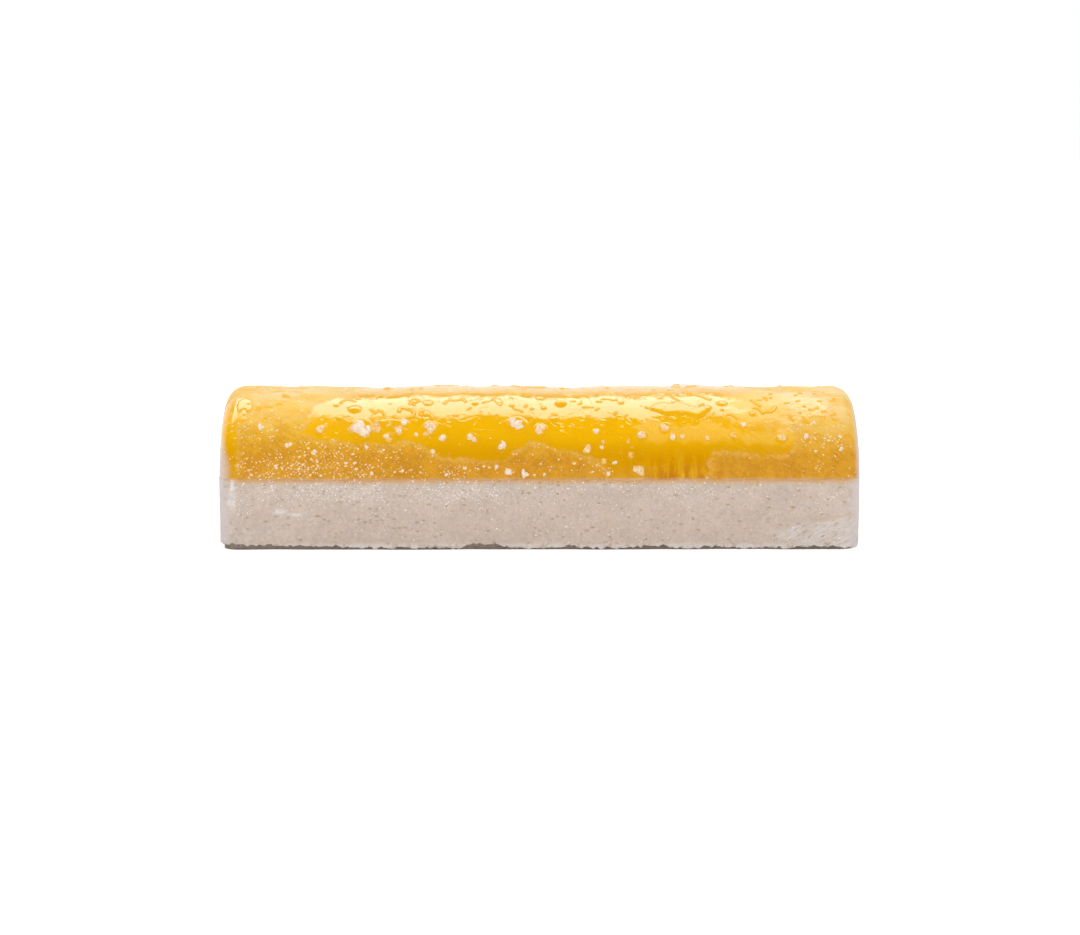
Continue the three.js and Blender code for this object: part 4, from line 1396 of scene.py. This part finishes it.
class ICELOG_OT_melt_drops(bpy.types.Operator):
    """Lays the drops, pools and threads of melt on the fruit layer"""

    bl_idname = "icelog.melt_drops"
    bl_label = "Melt Drops"

    def execute(self, context):
        form, frost = log_form(context), context.scene.log_frost
        draw = stream(frost.seed + 1)
        made = [*self.round_patches(form, draw), *self.drawn_patches(form), *self.flecks(form, draw)]
        piece = melt_piece("melt_drops", made)
        material = fruit_material("golden_melt", context.scene.log_colours, 0.0, 0.13)
        run_tree(piece, bpy.data.node_groups["fruit_relief"], Seed=float(frost.seed), Material=material)
        settle(piece, "fruit_layer")
        return {"FINISHED"}

    def round_patches(self, form, draw):
        """The drops, and the melt round the foot of each larger grain that stands where it is wet."""
        grains, drops = toppings(form)
        for along, angle, size, *rise in drops:
            width = size * between((0.8, 1.0), next(draw))
            outline = round_outline(form, (along, angle), size, width, 0.12, draw)
            yield outline_patch(form, outline, rise[0] if rise else DROP_RISE * size, size, 0.28)
        for along, angle, size in grains:
            if is_wet(form, along, angle) and size > RINGED_SIZE:
                outline = round_outline(form, (along, angle - 0.01), size * 1.2, size * 1.3, 0.3, draw)
                points, faces, flat = outline_patch(form, outline, 0.05 + 0.02 * size, 0.7, 0.4)
                flat[:, 2] *= RING_SHORE
                yield points, faces, flat

    def drawn_patches(self, form):
        """The pools and the threads."""
        flatten = np.array([1, form.radius])
        for height, edge, outline in MELT_POOLS:
            yield outline_patch(form, softened(outline * flatten), height, edge, 0.4)
        for height, width, path in MELT_THREADS:
            path = softened(path * flatten, False)
            yield thread_patch(form, path, height * THREAD_SWELL, width * THREAD_SPREAD)

    def flecks(self, form, draw):
        for span, rise, count in FLECKS:
            for _ in range(count):
                path = fleck(form, between(span, next(draw)), between(rise, next(draw)), draw)
                yield thread_patch(form, path, FLECK_HEIGHT, FLECK_WIDTH)


class ICELOG_OT_frost_specks(bpy.types.Operator):
    """Scatters fine specks of frost over both layers, as dense as their frost patches"""

    bl_idname = "icelog.frost_specks"
    bl_label = "Frost Specks"

    def execute(self, context):
        frost, colours = context.scene.log_frost, context.scene.log_colours
        tree = speck_tree()
        per_square_metre = 10000.0
        for body, name, node, density, tint in (
                ("fruit_body", "fruit_frost", "fruit_layer", frost.fruit_specks, colours.frost),
                ("cream_body", "cream_frost", "cream_layer", frost.cream_specks, colours.cold_frost)):
            piece = link(name, bpy.data.objects[body].data.copy())
            piece.data.materials.clear()
            run_tree(piece, tree, Density=density * per_square_metre, Largest=frost.speck_size,
                     Seed=frost.seed, Material=frost_material("specks_of_" + name, tint))
            settle(piece, node)
        return {"FINISHED"}


class ICELOG_OT_stage(bpy.types.Operator):
    """Sets up the pale floor, the soft studio light and the camera"""

    bl_idname = "icelog.stage"
    bl_label = "Stage"

    def execute(self, context):
        scene = context.scene
        scene.view_settings.view_transform = "Standard"
        self.floor(scene)
        self.world(scene)
        self.softbox(scene, "softbox", (1.1, 0.87), 118, 12).visible_diffuse = False
        self.softbox(scene, "fill", (1.2, 1.2), 91, 6).visible_glossy = False
        self.camera(scene)
        return {"FINISHED"}

    def floor(self, scene):
        """A wide disc. It glows white for the camera, and away from the log it lights the log a little."""
        mesh = bpy.data.meshes.new("floor")
        shaped = bmesh.new()
        bmesh.ops.create_circle(shaped, cap_ends=True, segments=96, radius=4.0)
        shaped.to_mesh(mesh)
        shaped.free()
        material, tree, shader = new_material("pale_floor", Roughness=0.9, Specular_IOR_Level=0.0)
        shader.inputs["Base Color"].default_value = rgba(scene.log_colours.floor)
        away = vector_length(tree, object_place(tree))
        seen = add(tree, "ShaderNodeLightPath").outputs["Is Camera Ray"]
        shown = times(tree, eased(tree, away, 0.25, 1.5, 0.7, 1.0), seen)
        unseen = times(tree, eased(tree, away, 0.08, 0.5, 0.0, 0.5), rest(tree, seen))
        shader.inputs["Emission Color"].default_value = (1, 1, 1, 1)
        tree.links.new(plus(tree, shown, unseen), shader.inputs["Emission Strength"])
        mesh.materials.append(material)
        link("floor", mesh)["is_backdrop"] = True

    def world(self, scene):
        """White for the camera. For light and reflections it is white near the horizon, higher up behind the log,
        and dim above; reflections see less of the front."""
        scene.world = bpy.data.worlds.new("studio")
        scene.world.use_nodes = True
        tree = scene.world.node_tree
        way = add(tree, "ShaderNodeTexCoord").outputs["Generated"]
        behind = calc(tree, "MAXIMUM", part_of(tree, way, 1), 0.0)
        level = scaled(tree, behind, -0.35, part_of(tree, way, 2))
        path = add(tree, "ShaderNodeLightPath").outputs
        front = scaled(tree, path["Is Glossy Ray"], -1.2, 1.43)
        side = add(tree, "ShaderNodeMix", {0: eased(tree, behind, 0.0, 0.4), 2: front, 3: 1.0}).outputs[0]
        low = times(tree, eased(tree, level, 0.3, 0.5, 1.0, 0.04), side)
        background = tree.nodes["Background"].inputs
        tree.links.new(most(tree, low, path["Is Camera Ray"]), background["Strength"])
        background["Color"].default_value = (1, 1, 1, 1)

    def softbox(self, scene, name, size, elevation, power):
        """A square lamp facing the log. The elevation in degrees is measured up from the front and over."""
        lamp = bpy.data.lights.new(name, "AREA")
        lamp.shape = "RECTANGLE"
        lamp.size, lamp.size_y = size
        lamp.energy = power
        turn = math.radians(elevation)
        middle, distance = Vector((0, 0, 0.03)), 0.8
        holder = bpy.data.objects.new(name, lamp)
        holder.location = Vector((0, -math.cos(turn), math.sin(turn))) * distance + middle
        holder.rotation_euler = (turn - math.pi / 2, 0, 0)
        scene.collection.objects.link(holder)
        return holder

    def camera(self, scene):
        """A long lens from the front, a little above the log."""
        lens = bpy.data.cameras.new("camera")
        lens.lens = 77.1
        lens.sensor_width = 36
        elevation, azimuth, distance = math.radians(9.8), math.radians(-0.3), 0.932
        target = Vector((0.0003, 0, 0.02626))
        way = Vector((math.sin(azimuth) * math.cos(elevation), -math.cos(azimuth) * math.cos(elevation),
                      math.sin(elevation)))
        holder = bpy.data.objects.new("camera", lens)
        holder.location = way * distance + target
        holder.rotation_euler = (math.pi / 2 - elevation, 0, azimuth)
        scene.collection.objects.link(holder)
        scene.camera = holder


class ICELOG_PT_panel(bpy.types.Panel):
    """Lists the pieces of the ice cream log, its sizes and its colours"""

    bl_idname = "ICELOG_PT_panel"
    bl_label = "Ice Cream Log"
    bl_space_type = "VIEW_3D"
    bl_region_type = "UI"
    bl_category = "Ice Cream Log"

    def draw(self, context):
        for operator in OPERATORS:
            self.layout.operator(operator.bl_idname)
        for group in (context.scene.log_sizes, context.scene.log_frost, context.scene.log_colours):
            column = self.layout.column()
            for name in group.__annotations__:
                column.prop(group, name)


OPERATORS = (
    ICELOG_OT_cream_body, ICELOG_OT_fruit_body, ICELOG_OT_ice_grains, ICELOG_OT_melt_drops,
    ICELOG_OT_frost_specks, ICELOG_OT_stage)
CLASSES = (LogSizes, FrostSettings, LogColours, *OPERATORS, ICELOG_PT_panel)


def register():
    for one in CLASSES:
        bpy.utils.register_class(one)
    bpy.types.Scene.log_sizes = PointerProperty(type=LogSizes)
    bpy.types.Scene.log_frost = PointerProperty(type=FrostSettings)
    bpy.types.Scene.log_colours = PointerProperty(type=LogColours)


def unregister():
    del bpy.types.Scene.log_colours, bpy.types.Scene.log_frost, bpy.types.Scene.log_sizes
    for one in reversed(CLASSES):
        bpy.utils.unregister_class(one)


def main():
    register()
    for operator in OPERATORS:
        group, name = operator.bl_idname.split(".")
        getattr(getattr(bpy.ops, group), name)()
    ({name: [list(corner) for corner in box] for name, box in (
        ("cad", CAD_BOX), ("visual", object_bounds()))})


if __name__ == "__main__":
    main()
